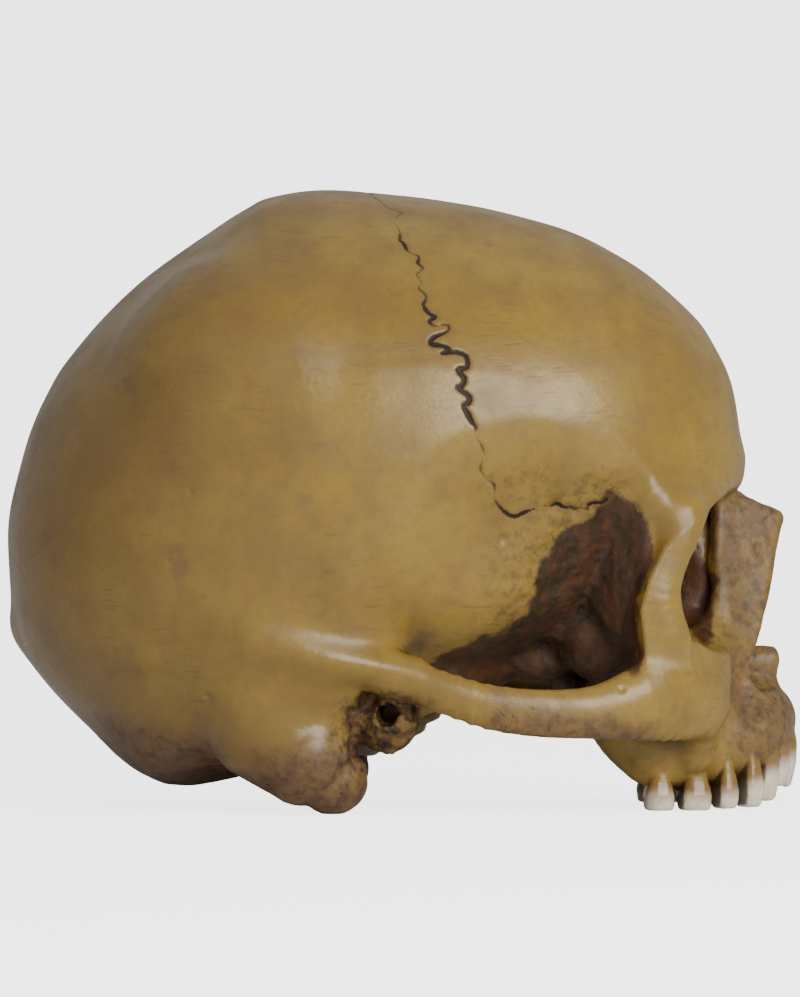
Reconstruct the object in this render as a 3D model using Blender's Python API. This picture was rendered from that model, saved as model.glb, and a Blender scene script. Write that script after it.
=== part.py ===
"""A life-size human cranium without its lower jaw, resting on its teeth and mastoid processes.

The bone is one blended body: rounded forms joined and carved by smooth minimum in a distance
field, meshed by Blender's own OpenVDB module. It is then parted at the sutures by closed cutters.
X points to the face, Y to the skull's left, Z up. Lengths are in millimetres up to the mesh,
which is in metres.
"""

import math

import bpy
import bmesh
import numpy as np
import openvdb
from mathutils import Euler

MM = 0.001

# Braincase: the midline outline as (x, z), seen from its right, and the half width at the centre.
VAULT_CENTRE = (-18.0, 78.0)
VAULT_HALF_WIDTH = 69.0
VAULT_OUTLINE = [
    (83.1, 84.7), (82.6, 92), (80.4, 104.4), (75.5, 114.7), (70.5, 121.4), (60.7, 130.5),
    (50.8, 136.6), (41, 141.1), (26, 145.6), (6.5, 149.4), (-18, 151.7), (-32.5, 149.9),
    (-38.5, 147.1), (-47.6, 141.3), (-62.4, 131), (-72.3, 121.9), (-82.1, 110.3), (-87, 102.7),
    (-92.3, 91), (-96.7, 73.4), (-97.2, 61), (-94.7, 41.6), (-87, 29.5), (-72.3, 14.8),
    (-62.4, 7.6), (-54, 6), (-46, 7.4), (-32, 10), (-16, 13), (-6, 15.5), (2, 22.5), (9, 29),
    (22, 33.5), (36, 39.5), (52, 50), (66, 68), (76, 77),
]
# Fullness of the braincase's side by direction round its centre: 2 is an ellipse, more is boxier.
VAULT_FULLNESS = [
    (-180, 2.2), (-135, 2.4), (-90, 2.9), (-45, 2.6), (0, 2.35), (45, 2.3), (90, 2.25), (135, 2.15),
    (180, 2.2),
]

# Each tooth: x, y, width, depth, height of its neck and of its tip, and the arch's turn in degrees.
TEETH = [
    (93.9, 4.2, 7.8, 6.2, 15.5, 4.8, 100), (92, 10.8, 6.2, 6, 15, 5.2, 120),
    (88.6, 16, 6.8, 7.2, 13, 1.8, 132), (84, 20.4, 5.8, 8.2, 10.5, 0.5, 142),
    (78, 23.8, 5.8, 8.6, 8.4, 0.2, 154), (70.6, 26.3, 8, 9.8, 7, -0.6, 164),
    (62, 27.7, 7.6, 9.6, 6.8, -0.6, 172),
]

# The box and spacing in which the field is sampled, and the share of its faces that is kept.
GRID_LOW, GRID_HIGH, VOXEL = (-104, -78, -6), (104, 78, 160), 1.4
FACE_SHARE = 0.062
# The gap between neighbouring bones.
GAP = 0.3

# Where each bone is parted from what is left, in order: outline as (x, z), and its reach in Y.
SUTURES = {
    "vomer": [(35, 29), (84.5, 34), (80.5, 46), (84.5, 62), (60, 68), (35, 48)],
    "nasal_bones": [(78.5, 74.5), (84, 66), (104, 60), (104, 84), (81, 84)],
    "zygomatic": [(24.5, 15.5), (66.5, 15.5), (70.5, 26), (75, 38), (80, 45), (80, 64.5), (54, 64.5),
                  (53, 45), (48, 38), (24.5, 38)],
    "maxilla": [(45, -10), (104, -10), (104, 84), (82, 79.5), (77.5, 70), (75, 52), (62, 42),
                (45, 37)],
    "frontal": [(21.8, 74.4), (30.4, 72.2), (40.5, 73), (50.7, 75), (56, 64.5), (110, 62),
                (110, 175), (-8, 175), (-7.7, 150), (-0.4, 138.6), (4.9, 123.3), (8.7, 116),
                (14, 106), (16.8, 92.3), (18.5, 83)],
    "parietal": [(21.8, 74.4), (60, 120), (60, 175), (-120, 175), (-120, 130), (-90, 118),
                 (-76, 100), (-62, 74), (-44, 46), (-24, 51), (-14, 63), (0, 71), (14, 73),
                 (24, 70)],
    "temporal": [(-40, -20), (24.2, -20), (24.2, 38), (27, 40), (28, 52), (24, 70), (14, 73),
                 (0, 71), (-14, 63), (-24, 51), (-44, 46), (-40, 20)],
    "occipital": [(-130, -20), (11, -20), (11, 34), (-30, 48), (-44, 60), (-60, 150), (-130, 150)],
}
WIDE = 100
BONES = [
    ("vomer", SUTURES["vomer"], -1.8, 1.8),
    ("nasal_bones", SUTURES["nasal_bones"], -7, 7),
    ("zygomatic_right", SUTURES["zygomatic"], -WIDE, -32),
    ("zygomatic_left", SUTURES["zygomatic"], 32, WIDE),
    ("maxilla_right", SUTURES["maxilla"], -WIDE, -GAP / 2),
    ("maxilla_left", SUTURES["maxilla"], GAP / 2, WIDE),
    ("frontal_bone", SUTURES["frontal"], -WIDE, WIDE),
    ("parietal_right", SUTURES["parietal"], -WIDE, -GAP / 2),
    ("parietal_left", SUTURES["parietal"], GAP / 2, WIDE),
    ("temporal_right", SUTURES["temporal"], -WIDE, -22),
    ("temporal_left", SUTURES["temporal"], 22, WIDE),
    ("occipital_bone", SUTURES["occipital"], -WIDE, WIDE),
]

BONE_COLOR = (0.34, 0.225, 0.08)
BONE_COLORS = {"occipital_bone": (0.25, 0.16, 0.065), "nasal_bones": (0.30, 0.19, 0.08)}
BONE_ROUGHNESS = 0.4


def smooth_min(a, b, blend):
    """The lower of two fields, rounded over where they come within blend of each other."""
    share = np.clip(0.5 + 0.5 * (b - a) / blend, 0, 1)
    return b + (a - b) * share - blend * share * (1 - share)


class Form:
    """A rounded shape: its box, and a function from points to distance outside it."""

    def __init__(self, low, high, distance):
        self.low = np.array(low, float)
        self.high = np.array(high, float)
        self.distance = distance


def ellipsoid(centre, radii, turn=(0, 0, 0)):
    """An ellipsoid turned by Euler angles in degrees."""
    axes = np.array(Euler([math.radians(angle) for angle in turn]).to_matrix())
    centre, radii = np.array(centre, float), np.array(radii, float)
    reach = np.sqrt(((axes * radii) ** 2).sum(1))

    def distance(p):
        local = np.tensordot(axes.T, p - centre[:, None], 1)
        inside = np.sqrt(((local / radii[:, None]) ** 2).sum(0))
        slope = np.sqrt(((local / radii[:, None] ** 2) ** 2).sum(0))
        return inside * (inside - 1) / np.maximum(slope, 1e-6)

    return Form(centre - reach, centre + reach, distance)


def smooth_path(rows, steps):
    """Rows of numbers as a Catmull-Rom curve, with steps pieces between each two."""
    rows = np.array(rows, float)
    padded = np.vstack([2 * rows[0] - rows[1], rows, 2 * rows[-1] - rows[-2]])
    made = []
    for a, b, c, d in zip(padded, padded[1:], padded[2:], padded[3:]):
        for t in np.arange(steps) / steps:
            made.append(0.5 * (2 * b + (c - a) * t + (2 * a - 5 * b + 4 * c - d) * t**2
                               + (3 * b - a - 3 * c + d) * t**3))
    return np.array(made + [rows[-1]])


def bar(stations, steps=3):
    """A bent bar through stations of (x, y, z, half height, half width), oval in section."""
    rows = smooth_path(stations, steps)
    reach = rows[:, 3:].max(1)[:, None]

    def distance(p):
        best = np.full(p.shape[1], 1e3, np.float32)
        for a, b in zip(rows, rows[1:]):
            along = (b - a)[:3]
            t = np.clip(((p - a[:3, None]) * along[:, None]).sum(0) / (along @ along), 0, 1)
            off = p - a[:3, None] - along[:, None] * t
            up, side = np.abs(off[2]), np.hypot(off[0], off[1])
            high, wide = a[3] + (b[3] - a[3]) * t, a[4] + (b[4] - a[4]) * t
            inside = np.hypot(up / high, side / wide)
            slope = np.hypot(up / high**2, side / wide**2)
            best = np.minimum(best, inside * (inside - 1) / np.maximum(slope, 1e-6))
        return best

    return Form((rows[:, :3] - reach).min(0), (rows[:, :3] + reach).max(0), distance)


def ball_chain(stations):
    """Round cones through stations of (x, y, z, radius)."""
    rows = np.array(stations, float)
    reach = rows[:, 3:]

    def distance(p):
        best = np.full(p.shape[1], 1e3, np.float32)
        for a, b in zip(rows, rows[1:]):
            along = (b - a)[:3]
            t = np.clip(((p - a[:3, None]) * along[:, None]).sum(0) / (along @ along), 0, 1)
            off = p - a[:3, None] - along[:, None] * t
            best = np.minimum(best, np.sqrt((off**2).sum(0)) - a[3] - (b[3] - a[3]) * t)
        return best

    return Form((rows[:, :3] - reach).min(0), (rows[:, :3] + reach).max(0), distance)


def plate(origin, across, up, outline, half_thickness, rounding=0.8):
    """A flat plate: an outline drawn along two directions from an origin, thick both ways."""
    across = np.array(across, float) / np.linalg.norm(across)
    up = np.array(up, float) - across * (np.array(up, float) @ across)
    up /= np.linalg.norm(up)
    normal = np.cross(across, up)
    origin, outline = np.array(origin, float), np.array(outline, float)
    corners = origin + outline[:, :1] * across + outline[:, 1:] * up
    reach = half_thickness + rounding

    def distance(p):
        local = p - origin[:, None]
        u = (local * across[:, None]).sum(0)
        v = (local * up[:, None]).sum(0)
        w = np.abs((local * normal[:, None]).sum(0)) - half_thickness + rounding
        nearest, inside = np.full(u.shape, 1e6, np.float32), np.zeros(u.shape, bool)
        for (ax, ay), (bx, by) in zip(outline, np.roll(outline, -1, 0)):
            ex, ey = bx - ax, by - ay
            t = np.clip(((u - ax) * ex + (v - ay) * ey) / (ex * ex + ey * ey), 0, 1)
            nearest = np.minimum(nearest, (u - ax - ex * t) ** 2 + (v - ay - ey * t) ** 2)
            if ey:
                inside ^= ((ay > v) != (by > v)) & (u < ax + ex * (v - ay) / ey)
        flat = np.where(inside, -1, 1) * np.sqrt(nearest) + rounding
        outside = np.hypot(np.maximum(flat, 0), np.maximum(w, 0))
        return np.minimum(np.maximum(flat, w), 0) + outside - rounding

    return Form((corners - reach).min(0), (corners + reach).max(0), distance)


def near(form, p, blend):
    """Which points lie close enough to a form for it to matter."""
    margin = blend + 4
    low, high = (form.low - margin)[:, None], (form.high + margin)[:, None]
    return ((p > low) & (p < high)).all(0)


def add(field, p, form, blend):
    """Joins a form to the field with a fillet of about blend."""
    at = near(form, p, blend)
    field[at] = smooth_min(field[at], form.distance(p[:, at]), blend)


def carve(field, p, form, blend):
    """Takes a form out of the field with a rounded lip of about blend."""
    at = near(form, p, blend)
    field[at] = -smooth_min(-field[at], form.distance(p[:, at]), blend)


def vault(p):
    """Distance along the ray from the braincase's centre, whose section round the Y axis is the
    midline outline, closed to each side by a superellipse of varying fullness."""
    loop = np.array(VAULT_OUTLINE + VAULT_OUTLINE[:3], float)
    curve = smooth_path(loop, 6)[6 : 6 * (len(VAULT_OUTLINE) + 1)] - VAULT_CENTRE
    angle = np.degrees(np.arctan2(curve[:, 1], curve[:, 0]))
    order = np.argsort(angle)
    radius = np.hypot(curve[:, 0], curve[:, 1])[order]
    x, z = p[0] - VAULT_CENTRE[0], p[2] - VAULT_CENTRE[1]
    here = np.degrees(np.arctan2(z, x))
    reach = np.interp(here, angle[order], radius, period=360)
    power = np.interp(here, *np.array(VAULT_FULLNESS, float).T)
    ratio = ((np.hypot(x, z) / reach) ** power + (p[1] / VAULT_HALF_WIDTH) ** power) ** (1 / power)
    ratio = np.maximum(ratio, 1e-3)
    return (np.sqrt(x**2 + z**2 + p[1] ** 2) * (1 - 1 / ratio)).astype(np.float32)


def vault_swellings(field, p):
    """Parietal and frontal eminences and the temporal line."""
    add(field, p, ellipsoid((-38, 40, 107), (27, 23, 24)), 12)
    add(field, p, ellipsoid((52, 26, 105), (15.5, 16, 16)), 8)
    add(field, p, bar([(65.4, 47.5, 66, 1.8, 1.8), (62.6, 47.5, 73, 1.8, 1.8),
                       (58.4, 47.4, 80.5, 1.8, 1.8), (50, 50.6, 90, 1.8, 1.8),
                       (32, 55.7, 101, 2, 2), (4, 61, 106, 2, 2), (-24, 62, 102, 2, 2)]), 4)


def base_of_skull(field, p):
    """Cerebellar swellings, mastoids, petrous ridges, basilar bar and condyles."""
    add(field, p, ellipsoid((-51, 23, 28.5), (22.5, 25, 20.8)), 8)
    add(field, p, ellipsoid((-90, 0, 44.5), (4.6, 12, 4.6)), 6)
    add(field, p, bar([(-90, 4, 45, 3, 3), (-82, 30, 44, 3, 3), (-62, 50, 40, 3, 3)]), 5)
    add(field, p, ellipsoid((-26, 49, 34), (21, 15, 18)), 10)
    add(field, p, ball_chain([(-33, 49, 21.2, 14), (-24, 52, 14, 12), (-17, 51, 8, 8.4)]), 5)
    add(field, p, bar([(-10, 48, 24, 5, 6), (6, 37, 29, 5, 6.5), (18, 18, 33.5, 5, 8)]), 6)
    add(field, p, bar([(-10, 0, 16, 3.4, 12), (2, 0, 26, 3.6, 11), (14, 0, 33.5, 4, 10),
                       (26, 0, 38, 5, 10)]), 4)
    add(field, p, ellipsoid((-18, 15.5, 9), (9.5, 5, 5.5), (0, 10, 22)), 2)
    add(field, p, bar([(-34, 62, 42, 3, 4), (-18, 63, 37, 3, 4), (2, 60, 34, 4, 4)]), 6)
    add(field, p, ellipsoid((-3, 55, 22), (6.6, 9, 7.3)), 2)
    add(field, p, ball_chain([(-7, 41, 20, 3), (-3, 38, 16.5, 1.8)]), 2)


def face_blocks(field, p):
    """Ethmoid core, maxilla and alveolar arch, before any hollow."""
    add(field, p, ellipsoid((60, 0, 56), (24, 14, 26)), 5)
    add(field, p, ellipsoid((64, 18, 32), (19, 14, 17)), 6)
    add(field, p, ellipsoid((58, 10, 26), (18, 18, 8)), 6)
    add(field, p, ellipsoid((77, 0, 26), (13, 14, 9)), 5)
    add(field, p, bar([(89.8, 0, 22.5, 8.5, 5), (88.3, 9, 21.5, 9, 5.2), (83, 16.5, 19, 9.5, 5.6),
                       (77, 20.8, 16.5, 9.8, 6), (69.5, 24, 15.5, 10, 6.6),
                       (60.5, 25.8, 15, 9.8, 6.4), (53.5, 26, 17.6, 7, 5.4),
                       (49.5, 25, 20, 4.6, 4)]), 4)
    add(field, p, ball_chain([(87, 16.5, 15, 3.6), (86, 17, 24, 3), (84.5, 15, 33, 2)]), 3)
    add(field, p, bar([(38, 14, 40, 5, 5), (39, 16, 31, 5, 3.6), (41, 17, 23, 4, 3)]), 3)


def brow(field, p):
    """Brow ridges and glabella."""
    add(field, p, ellipsoid((73.6, 0, 84.4), (6, 14, 8)), 6)
    add(field, p, bar([(77.5, 10, 81, 4, 5), (75, 22, 79.5, 4, 5), (71.5, 36, 76, 4, 5),
                       (67, 46, 69, 5, 4.4)]), 6)


def cheek(field, p):
    """The cheekbone with its pillar beside the orbit, and the arch back to the ear."""
    add(field, p, bar([(67.5, 46, 72, 5, 4.6), (66.2, 48, 64, 5, 4.4), (63, 49.5, 57, 5, 3.9),
                       (61.5, 50, 51, 5, 4.8), (62.5, 48.5, 44, 6, 6)]), 4)
    add(field, p, bar([(76, 27, 36, 8, 5), (72, 36, 30.5, 12, 6), (65, 45.5, 29.5, 12.3, 6.2),
                       (57, 53, 27, 9.6, 5.4), (46, 58.5, 24.6, 6.7, 3.8),
                       (33, 62, 24.4, 5.9, 2.9), (20, 63.5, 26.1, 5.6, 2.8),
                       (9, 62.5, 29.6, 5.3, 3.4), (-4, 59.5, 33.5, 5, 5)]), 3)
    add(field, p, bar([(72, 33, 24, 4, 6), (71, 30, 14, 4, 3)]), 5)


def nose(field, p):
    """The nasal bones' ridge and the side walls down to the maxilla."""
    add(field, p, bar([(76.2, 0, 75.2, 4.8, 7), (83, 0, 72.4, 3.2, 6), (86.8, 0, 71.4, 3, 5.2),
                       (89.3, 0, 70.6, 2.8, 4.1)]), 3)
    add(field, p, plate((90, 7.6, 56), (0.885, -0.466, 0), (5.5, -9, 28),
                        [(4.2, 16), (4, 14), (1.4, 5.9), (-0.3, -0.4), (-1.7, -5.4), (-3.9, -11.6),
                         (-5.8, -16.3), (-8.7, -24), (-20, -24), (-19, -8), (-16, 5), (-14, 20),
                         (-4, 20)], 2, 1.5), 3)


def orbits(field, p):
    """The eye sockets, tapering back and inwards, each with a hollow for the tear sac."""
    carve(field, p, ball_chain([(86, 37, 56, 19), (68, 31, 57.5, 17), (37, 17, 57, 5)]), 2)
    carve(field, p, ellipsoid((66, 18, 56.5), (10, 7.5, 13)), 2)


def nasal_cavity(field, p):
    """The pear-shaped opening and the passage behind it, with its septum and scrolls."""
    pear = [(-8, 37), (8, 37), (10.4, 41), (9.4, 48), (7.4, 55), (5, 62), (3, 67),
            (-3, 67), (-5, 62), (-7.4, 55), (-9.4, 48), (-10.4, 41)]
    carve(field, p, plate((84, 0, 0), (0, 1, 0), (0, 0, 1), pear, 24, 1), 1.5)
    carve(field, p, ellipsoid((60, 0, 47), (22, 10, 14)), 2)
    carve(field, p, ball_chain([(58, 6, 38, 5.5), (28, 7, 33, 6.5)]), 2)
    add(field, p, plate((0, 0, 0), (1, 0, 0), (0, 0, 1),
                        [(38, 28), (84, 33), (80, 46), (84, 64), (60, 70), (36, 45)], 1.1, 0.5), 1.5)
    add(field, p, ball_chain([(78, 9.5, 46, 2), (72, 8.5, 45, 3), (52, 8.5, 43, 2.5)]), 1.2)
    add(field, p, ball_chain([(74, 6.5, 56, 2), (66, 6, 55, 2.8), (52, 6, 52, 2)]), 1.2)
    add(field, p, bar([(82, 0, 35, 4, 5), (87, 0, 36, 3.8, 3), (90.6, 0, 36.4, 3.2, 2)]), 2)
    add(field, p, bar([(89.5, 0, 34, 3, 2), (89, 0, 28, 4, 3.4)]), 3)


def hollows(field, p):
    """Palate, foramen magnum, ear canals, jaw sockets and canine fossae."""
    carve(field, p, ellipsoid((62, 0, 5), (24, 18, 17)), 3)
    carve(field, p, ellipsoid((-27, 0, 10), (17, 14.5, 34)), 2)
    carve(field, p, ball_chain([(-3.7, 68, 25, 4.2), (-2, 42, 24, 3.2)]), 1.2)
    carve(field, p, ellipsoid((11, 50, 23), (6.5, 10, 6)), 3)
    carve(field, p, ellipsoid((86.5, 25, 33), (8, 10, 12)), 3)
    carve(field, p, ellipsoid((87, 17.6, 58), (8, 4.4, 12)), 3)


def tooth(x, y, width, depth, neck, tip, turn):
    """A tooth as a plate across the arch: its crown, and a root that runs up into the bone."""
    across = (math.cos(math.radians(turn)), math.sin(math.radians(turn)), 0)
    half = width / 2
    outline = [(-half * 0.72, tip), (half * 0.72, tip), (half, tip + 1.6), (half, neck - 2.5),
               (half * 0.74, neck), (half * 0.6, neck + 9), (-half * 0.6, neck + 9),
               (-half * 0.74, neck), (-half, neck - 2.5), (-half, tip + 1.6)]
    return plate((x, y, 0), across, (0, 0, 1), outline, depth / 2, min(half, depth / 2) * 0.6)


def teeth(field, p):
    """Seven teeth a side, sunk into the arch."""
    for row in TEETH:
        add(field, p, tooth(*row), 0.8)


def bone_field(p):
    """Distance outside the whole cranium at points p, whose Y is folded to one side."""
    field = vault(p)
    vault_swellings(field, p)
    face_blocks(field, p)
    carve(field, p, ellipsoid((42, 96, 56), (50, 44, 48)), 8)
    carve(field, p, ellipsoid((45, 69, 38), (23, 28, 36)), 4)
    carve(field, p, ellipsoid((40, 60, 15), (23, 32, 21)), 4)
    add(field, p, ball_chain([(59, 27, 57.5, 19.6), (37, 17, 57, 8)]), 3)
    add(field, p, plate((54, 43.5, 58), (12, 10, 0), (0, 0, 1),
                        [(-11, -16), (8, -20), (8, 18), (-11, 20)], 2.4, 1.5), 5)
    add(field, p, ellipsoid((59, 40, 75), (10, 9.5, 10)), 6)
    base_of_skull(field, p)
    brow(field, p)
    cheek(field, p)
    nose(field, p)
    orbits(field, p)
    nasal_cavity(field, p)
    hollows(field, p)
    teeth(field, p)
    return field


def sample_grid(low, high, voxel):
    """Points of a regular grid over a box as (3, n), and the grid's shape."""
    axes = [np.arange(a, b, voxel, np.float32) for a, b in zip(low, high)]
    grid = np.stack(np.meshgrid(*axes, indexing="ij"))
    return grid.reshape(3, -1), grid.shape[1:]


def mesh_of_field(field, shape, low, voxel):
    """Vertices in metres and quads of a sampled field's zero level."""
    grid = openvdb.FloatGrid(10.0)
    grid.copyFromArray(np.ascontiguousarray(field.reshape(shape), np.float32))
    points, quads = grid.convertToQuads(isovalue=0.0)
    return (points * voxel + np.array(low)) * MM, quads


def new_object(name, mesh, collection):
    """An object that shows a mesh, in a collection."""
    obj = bpy.data.objects.new(name, mesh)
    collection.objects.link(obj)
    return obj


def evaluated_copy(obj):
    """A new mesh of the object with its modifiers applied."""
    graph = bpy.context.evaluated_depsgraph_get()
    return bpy.data.meshes.new_from_object(obj.evaluated_get(graph))


def largest_surface(mesh):
    """Deletes every closed surface of a mesh but the one that holds the most volume."""
    work = bmesh.new()
    work.from_mesh(mesh)
    left, surfaces = set(work.verts), []
    while left:
        found, border = set(), [left.pop()]
        while border:
            vertex = border.pop()
            found.add(vertex)
            for edge in vertex.link_edges:
                other = edge.other_vert(vertex)
                if other in left:
                    left.discard(other)
                    border.append(other)
        faces = {face for vertex in found for face in vertex.link_faces}
        surfaces.append((sum(volume_under(face) for face in faces), found))
    surfaces.sort(key=lambda surface: -surface[0])
    extra = [vertex for surface in surfaces[1:] for vertex in surface[1]]
    bmesh.ops.delete(work, geom=extra, context="VERTS")
    work.to_mesh(mesh)
    work.free()


def volume_under(face):
    """Six times the signed volume between the origin and a face."""
    corners = [vertex.co for vertex in face.verts]
    return sum(corners[0].dot(b.cross(c)) for b, c in zip(corners[1:], corners[2:]))


def combined(mesh, cutter, operation, collection):
    """The mesh after a Boolean with a cutter, reduced to its largest closed surface."""
    obj = new_object("body", mesh, collection)
    modifier = obj.modifiers.new("cut", "BOOLEAN")
    modifier.solver = "MANIFOLD"
    modifier.operation = operation
    modifier.object = cutter
    made = evaluated_copy(obj)
    bpy.data.objects.remove(obj)
    largest_surface(made)
    return made


def grown(outline, by):
    """An anticlockwise outline moved outwards by a distance, square at its corners."""
    points = np.array(outline, float)
    edge = np.roll(points, -1, 0) - points
    edge /= np.linalg.norm(edge, axis=1)[:, None]
    before = np.roll(edge, 1, 0)
    normal = np.stack([edge[:, 1] + before[:, 1], -edge[:, 0] - before[:, 0]], 1)
    return points + by * normal / (1 + (edge * before).sum(1))[:, None]


def prism(name, outline, inner, outer, collection):
    """A hidden cutter: an outline as (x, z), anticlockwise with Z up, from Y inner to Y outer."""
    outline = np.asarray(outline, float)
    count = len(outline)
    rows = [(x * MM, y * MM, z * MM) for y in (inner, outer) for x, z in outline]
    faces = [tuple(range(count)), tuple(range(2 * count - 1, count - 1, -1))]
    faces += [(i, count + i, count + (i + 1) % count, (i + 1) % count) for i in range(count)]
    mesh = bpy.data.meshes.new(name)
    mesh.from_pydata(rows, [], faces)
    work = bmesh.new()
    work.from_mesh(mesh)
    bmesh.ops.recalc_face_normals(work, faces=work.faces)
    bmesh.ops.triangulate(work, faces=work.faces)
    work.to_mesh(mesh)
    work.free()
    cutter = new_object(name, mesh, collection)
    cutter.hide_render = True
    cutter.display_type = "WIRE"
    return cutter


def part_off(rest, name, outline, inner, outer, helpers):
    """Parts one bone from the rest along a prism, and leaves a gap all round it."""
    exact = prism(name + "_cutter", outline, inner, outer, helpers)
    wider = prism(name + "_gap", grown(outline, GAP), inner - GAP, outer + GAP, helpers)
    bone = combined(rest.copy(), exact, "INTERSECT", helpers)
    return bone, combined(rest, wider, "DIFFERENCE", helpers)


def bone_material(name, color):
    """Waxed bone of one colour."""
    material = bpy.data.materials.new(name)
    material.use_nodes = True
    shader = material.node_tree.nodes["Principled BSDF"]
    shader.inputs["Base Color"].default_value = (*color, 1)
    shader.inputs["Roughness"].default_value = BONE_ROUGHNESS
    return material


def whole_body(collection):
    """The cranium as one closed mesh, thinned to a few thousand faces, with flats to rest on."""
    p, shape = sample_grid(GRID_LOW, GRID_HIGH, VOXEL)
    folded = np.stack([p[0], np.abs(p[1]), p[2]])
    points, quads = mesh_of_field(bone_field(folded), shape, GRID_LOW, VOXEL)
    mesh = bpy.data.meshes.new("cranium")
    mesh.from_pydata(points.tolist(), [], quads.tolist())
    largest_surface(mesh)
    obj = new_object("cranium", mesh, collection)
    thin = obj.modifiers.new("thin", "DECIMATE")
    thin.ratio = FACE_SHARE
    thinned = evaluated_copy(obj)
    bpy.data.objects.remove(obj)
    below = [(-WIDE, -WIDE), (WIDE, -WIDE), (WIDE, 0), (-WIDE, 0)]
    floor = prism("floor_cutter", below, -WIDE, WIDE, collection)
    return combined(thinned, floor, "DIFFERENCE", collection)


def main():
    for obj in list(bpy.data.objects):
        bpy.data.objects.remove(obj)
    bones = bpy.data.collections.new("human_cranium")
    helpers = bpy.data.collections.new("cutters")
    for collection in (bones, helpers):
        bpy.context.scene.collection.children.link(collection)
    rest = whole_body(helpers)
    for name, outline, inner, outer in BONES:
        mesh, rest = part_off(rest, name, outline, inner, outer, helpers)
        new_object(name, mesh, bones)
    new_object("sphenoid_bone", rest, bones)
    for obj in bones.objects:
        obj.data.name = obj.name
        obj.data.materials.clear()
        obj.data.materials.append(bone_material(obj.name, BONE_COLORS.get(obj.name, BONE_COLOR)))


if __name__ == "__main__":
    main()
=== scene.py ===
"""Human cranium: the finished model, laid out as a Blender add-on and run as a script.

The bone is one distance field in millimetres, worked out with numpy: rounded forms are joined and
carved by smooth minimum, then the relief of the surface is added near its zero level. Blender's
own OpenVDB module meshes it, and closed cutters part it into bones along the sutures.
X points to the face, Y to the skull's left, Z up.
"""

import math

import bpy
import numpy as np
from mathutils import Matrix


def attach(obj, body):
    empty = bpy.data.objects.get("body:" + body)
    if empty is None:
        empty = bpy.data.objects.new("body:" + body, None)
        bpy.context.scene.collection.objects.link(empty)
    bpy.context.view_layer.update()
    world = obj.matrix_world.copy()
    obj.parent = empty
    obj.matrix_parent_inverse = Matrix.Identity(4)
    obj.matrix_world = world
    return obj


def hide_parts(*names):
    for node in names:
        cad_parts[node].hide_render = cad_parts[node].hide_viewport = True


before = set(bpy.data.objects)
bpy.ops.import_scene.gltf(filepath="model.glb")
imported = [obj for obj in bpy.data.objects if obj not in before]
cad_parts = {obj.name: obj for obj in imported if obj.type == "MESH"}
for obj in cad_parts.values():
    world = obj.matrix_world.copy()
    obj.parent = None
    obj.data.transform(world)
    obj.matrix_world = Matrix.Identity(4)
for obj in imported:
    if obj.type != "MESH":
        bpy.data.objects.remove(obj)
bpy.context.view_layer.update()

import openvdb
from bpy.props import FloatProperty, FloatVectorProperty, PointerProperty
from mathutils import Euler, Vector

bl_info = {
    "name": "Human cranium",
    "version": (1, 0, 0),
    "blender": (4, 5, 0),
    "location": "3D View > Sidebar > Cranium",
    "description": "Builds a life-size human cranium of waxed bone, bone by bone",
    "category": "Add Mesh",
}

MM = 0.001

# Braincase: the midline outline as (x, z), seen from its right, and the half width at the centre.
VAULT_CENTRE = (-18.0, 78.0)
VAULT_HALF_WIDTH = 69.0
VAULT_OUTLINE = [
    (83.1, 84.7), (82.6, 92), (80.4, 104.4), (75.5, 114.7), (70.5, 121.4), (60.7, 130.5),
    (50.8, 136.6), (41, 141.1), (26, 145.6), (6.5, 149.4), (-18, 151.7), (-32.5, 149.9),
    (-38.5, 147.1), (-47.6, 141.3), (-62.4, 131), (-72.3, 121.9), (-82.1, 110.3), (-87, 102.7),
    (-92.3, 91), (-96.7, 73.4), (-97.2, 61), (-94.7, 41.6), (-87, 29.5), (-72.3, 14.8),
    (-62.4, 7.6), (-54, 6), (-46, 7.4), (-32, 10), (-16, 13), (-6, 15.5), (2, 22.5), (9, 29),
    (22, 33.5), (36, 39.5), (52, 50), (66, 68), (76, 77),
]
# Fullness of the braincase's side by direction round its centre: 2 is an ellipse, more is boxier.
VAULT_FULLNESS = [
    (-180, 2.2), (-135, 2.4), (-90, 2.9), (-45, 2.6), (0, 2.35), (45, 2.3), (90, 2.25), (135, 2.15),
    (180, 2.2),
]

# The field's box, how many fine samples a coarse one spans, the distance from the surface within
# which it is sampled finely, and how many points are worked out at once.
GRID_LOW, GRID_HIGH = (-104, -78, -6), (104, 78, 160)
COARSE_STEPS = 3
BAND = 2.6
CHUNK = 300000
LATTICE = 32

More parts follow.
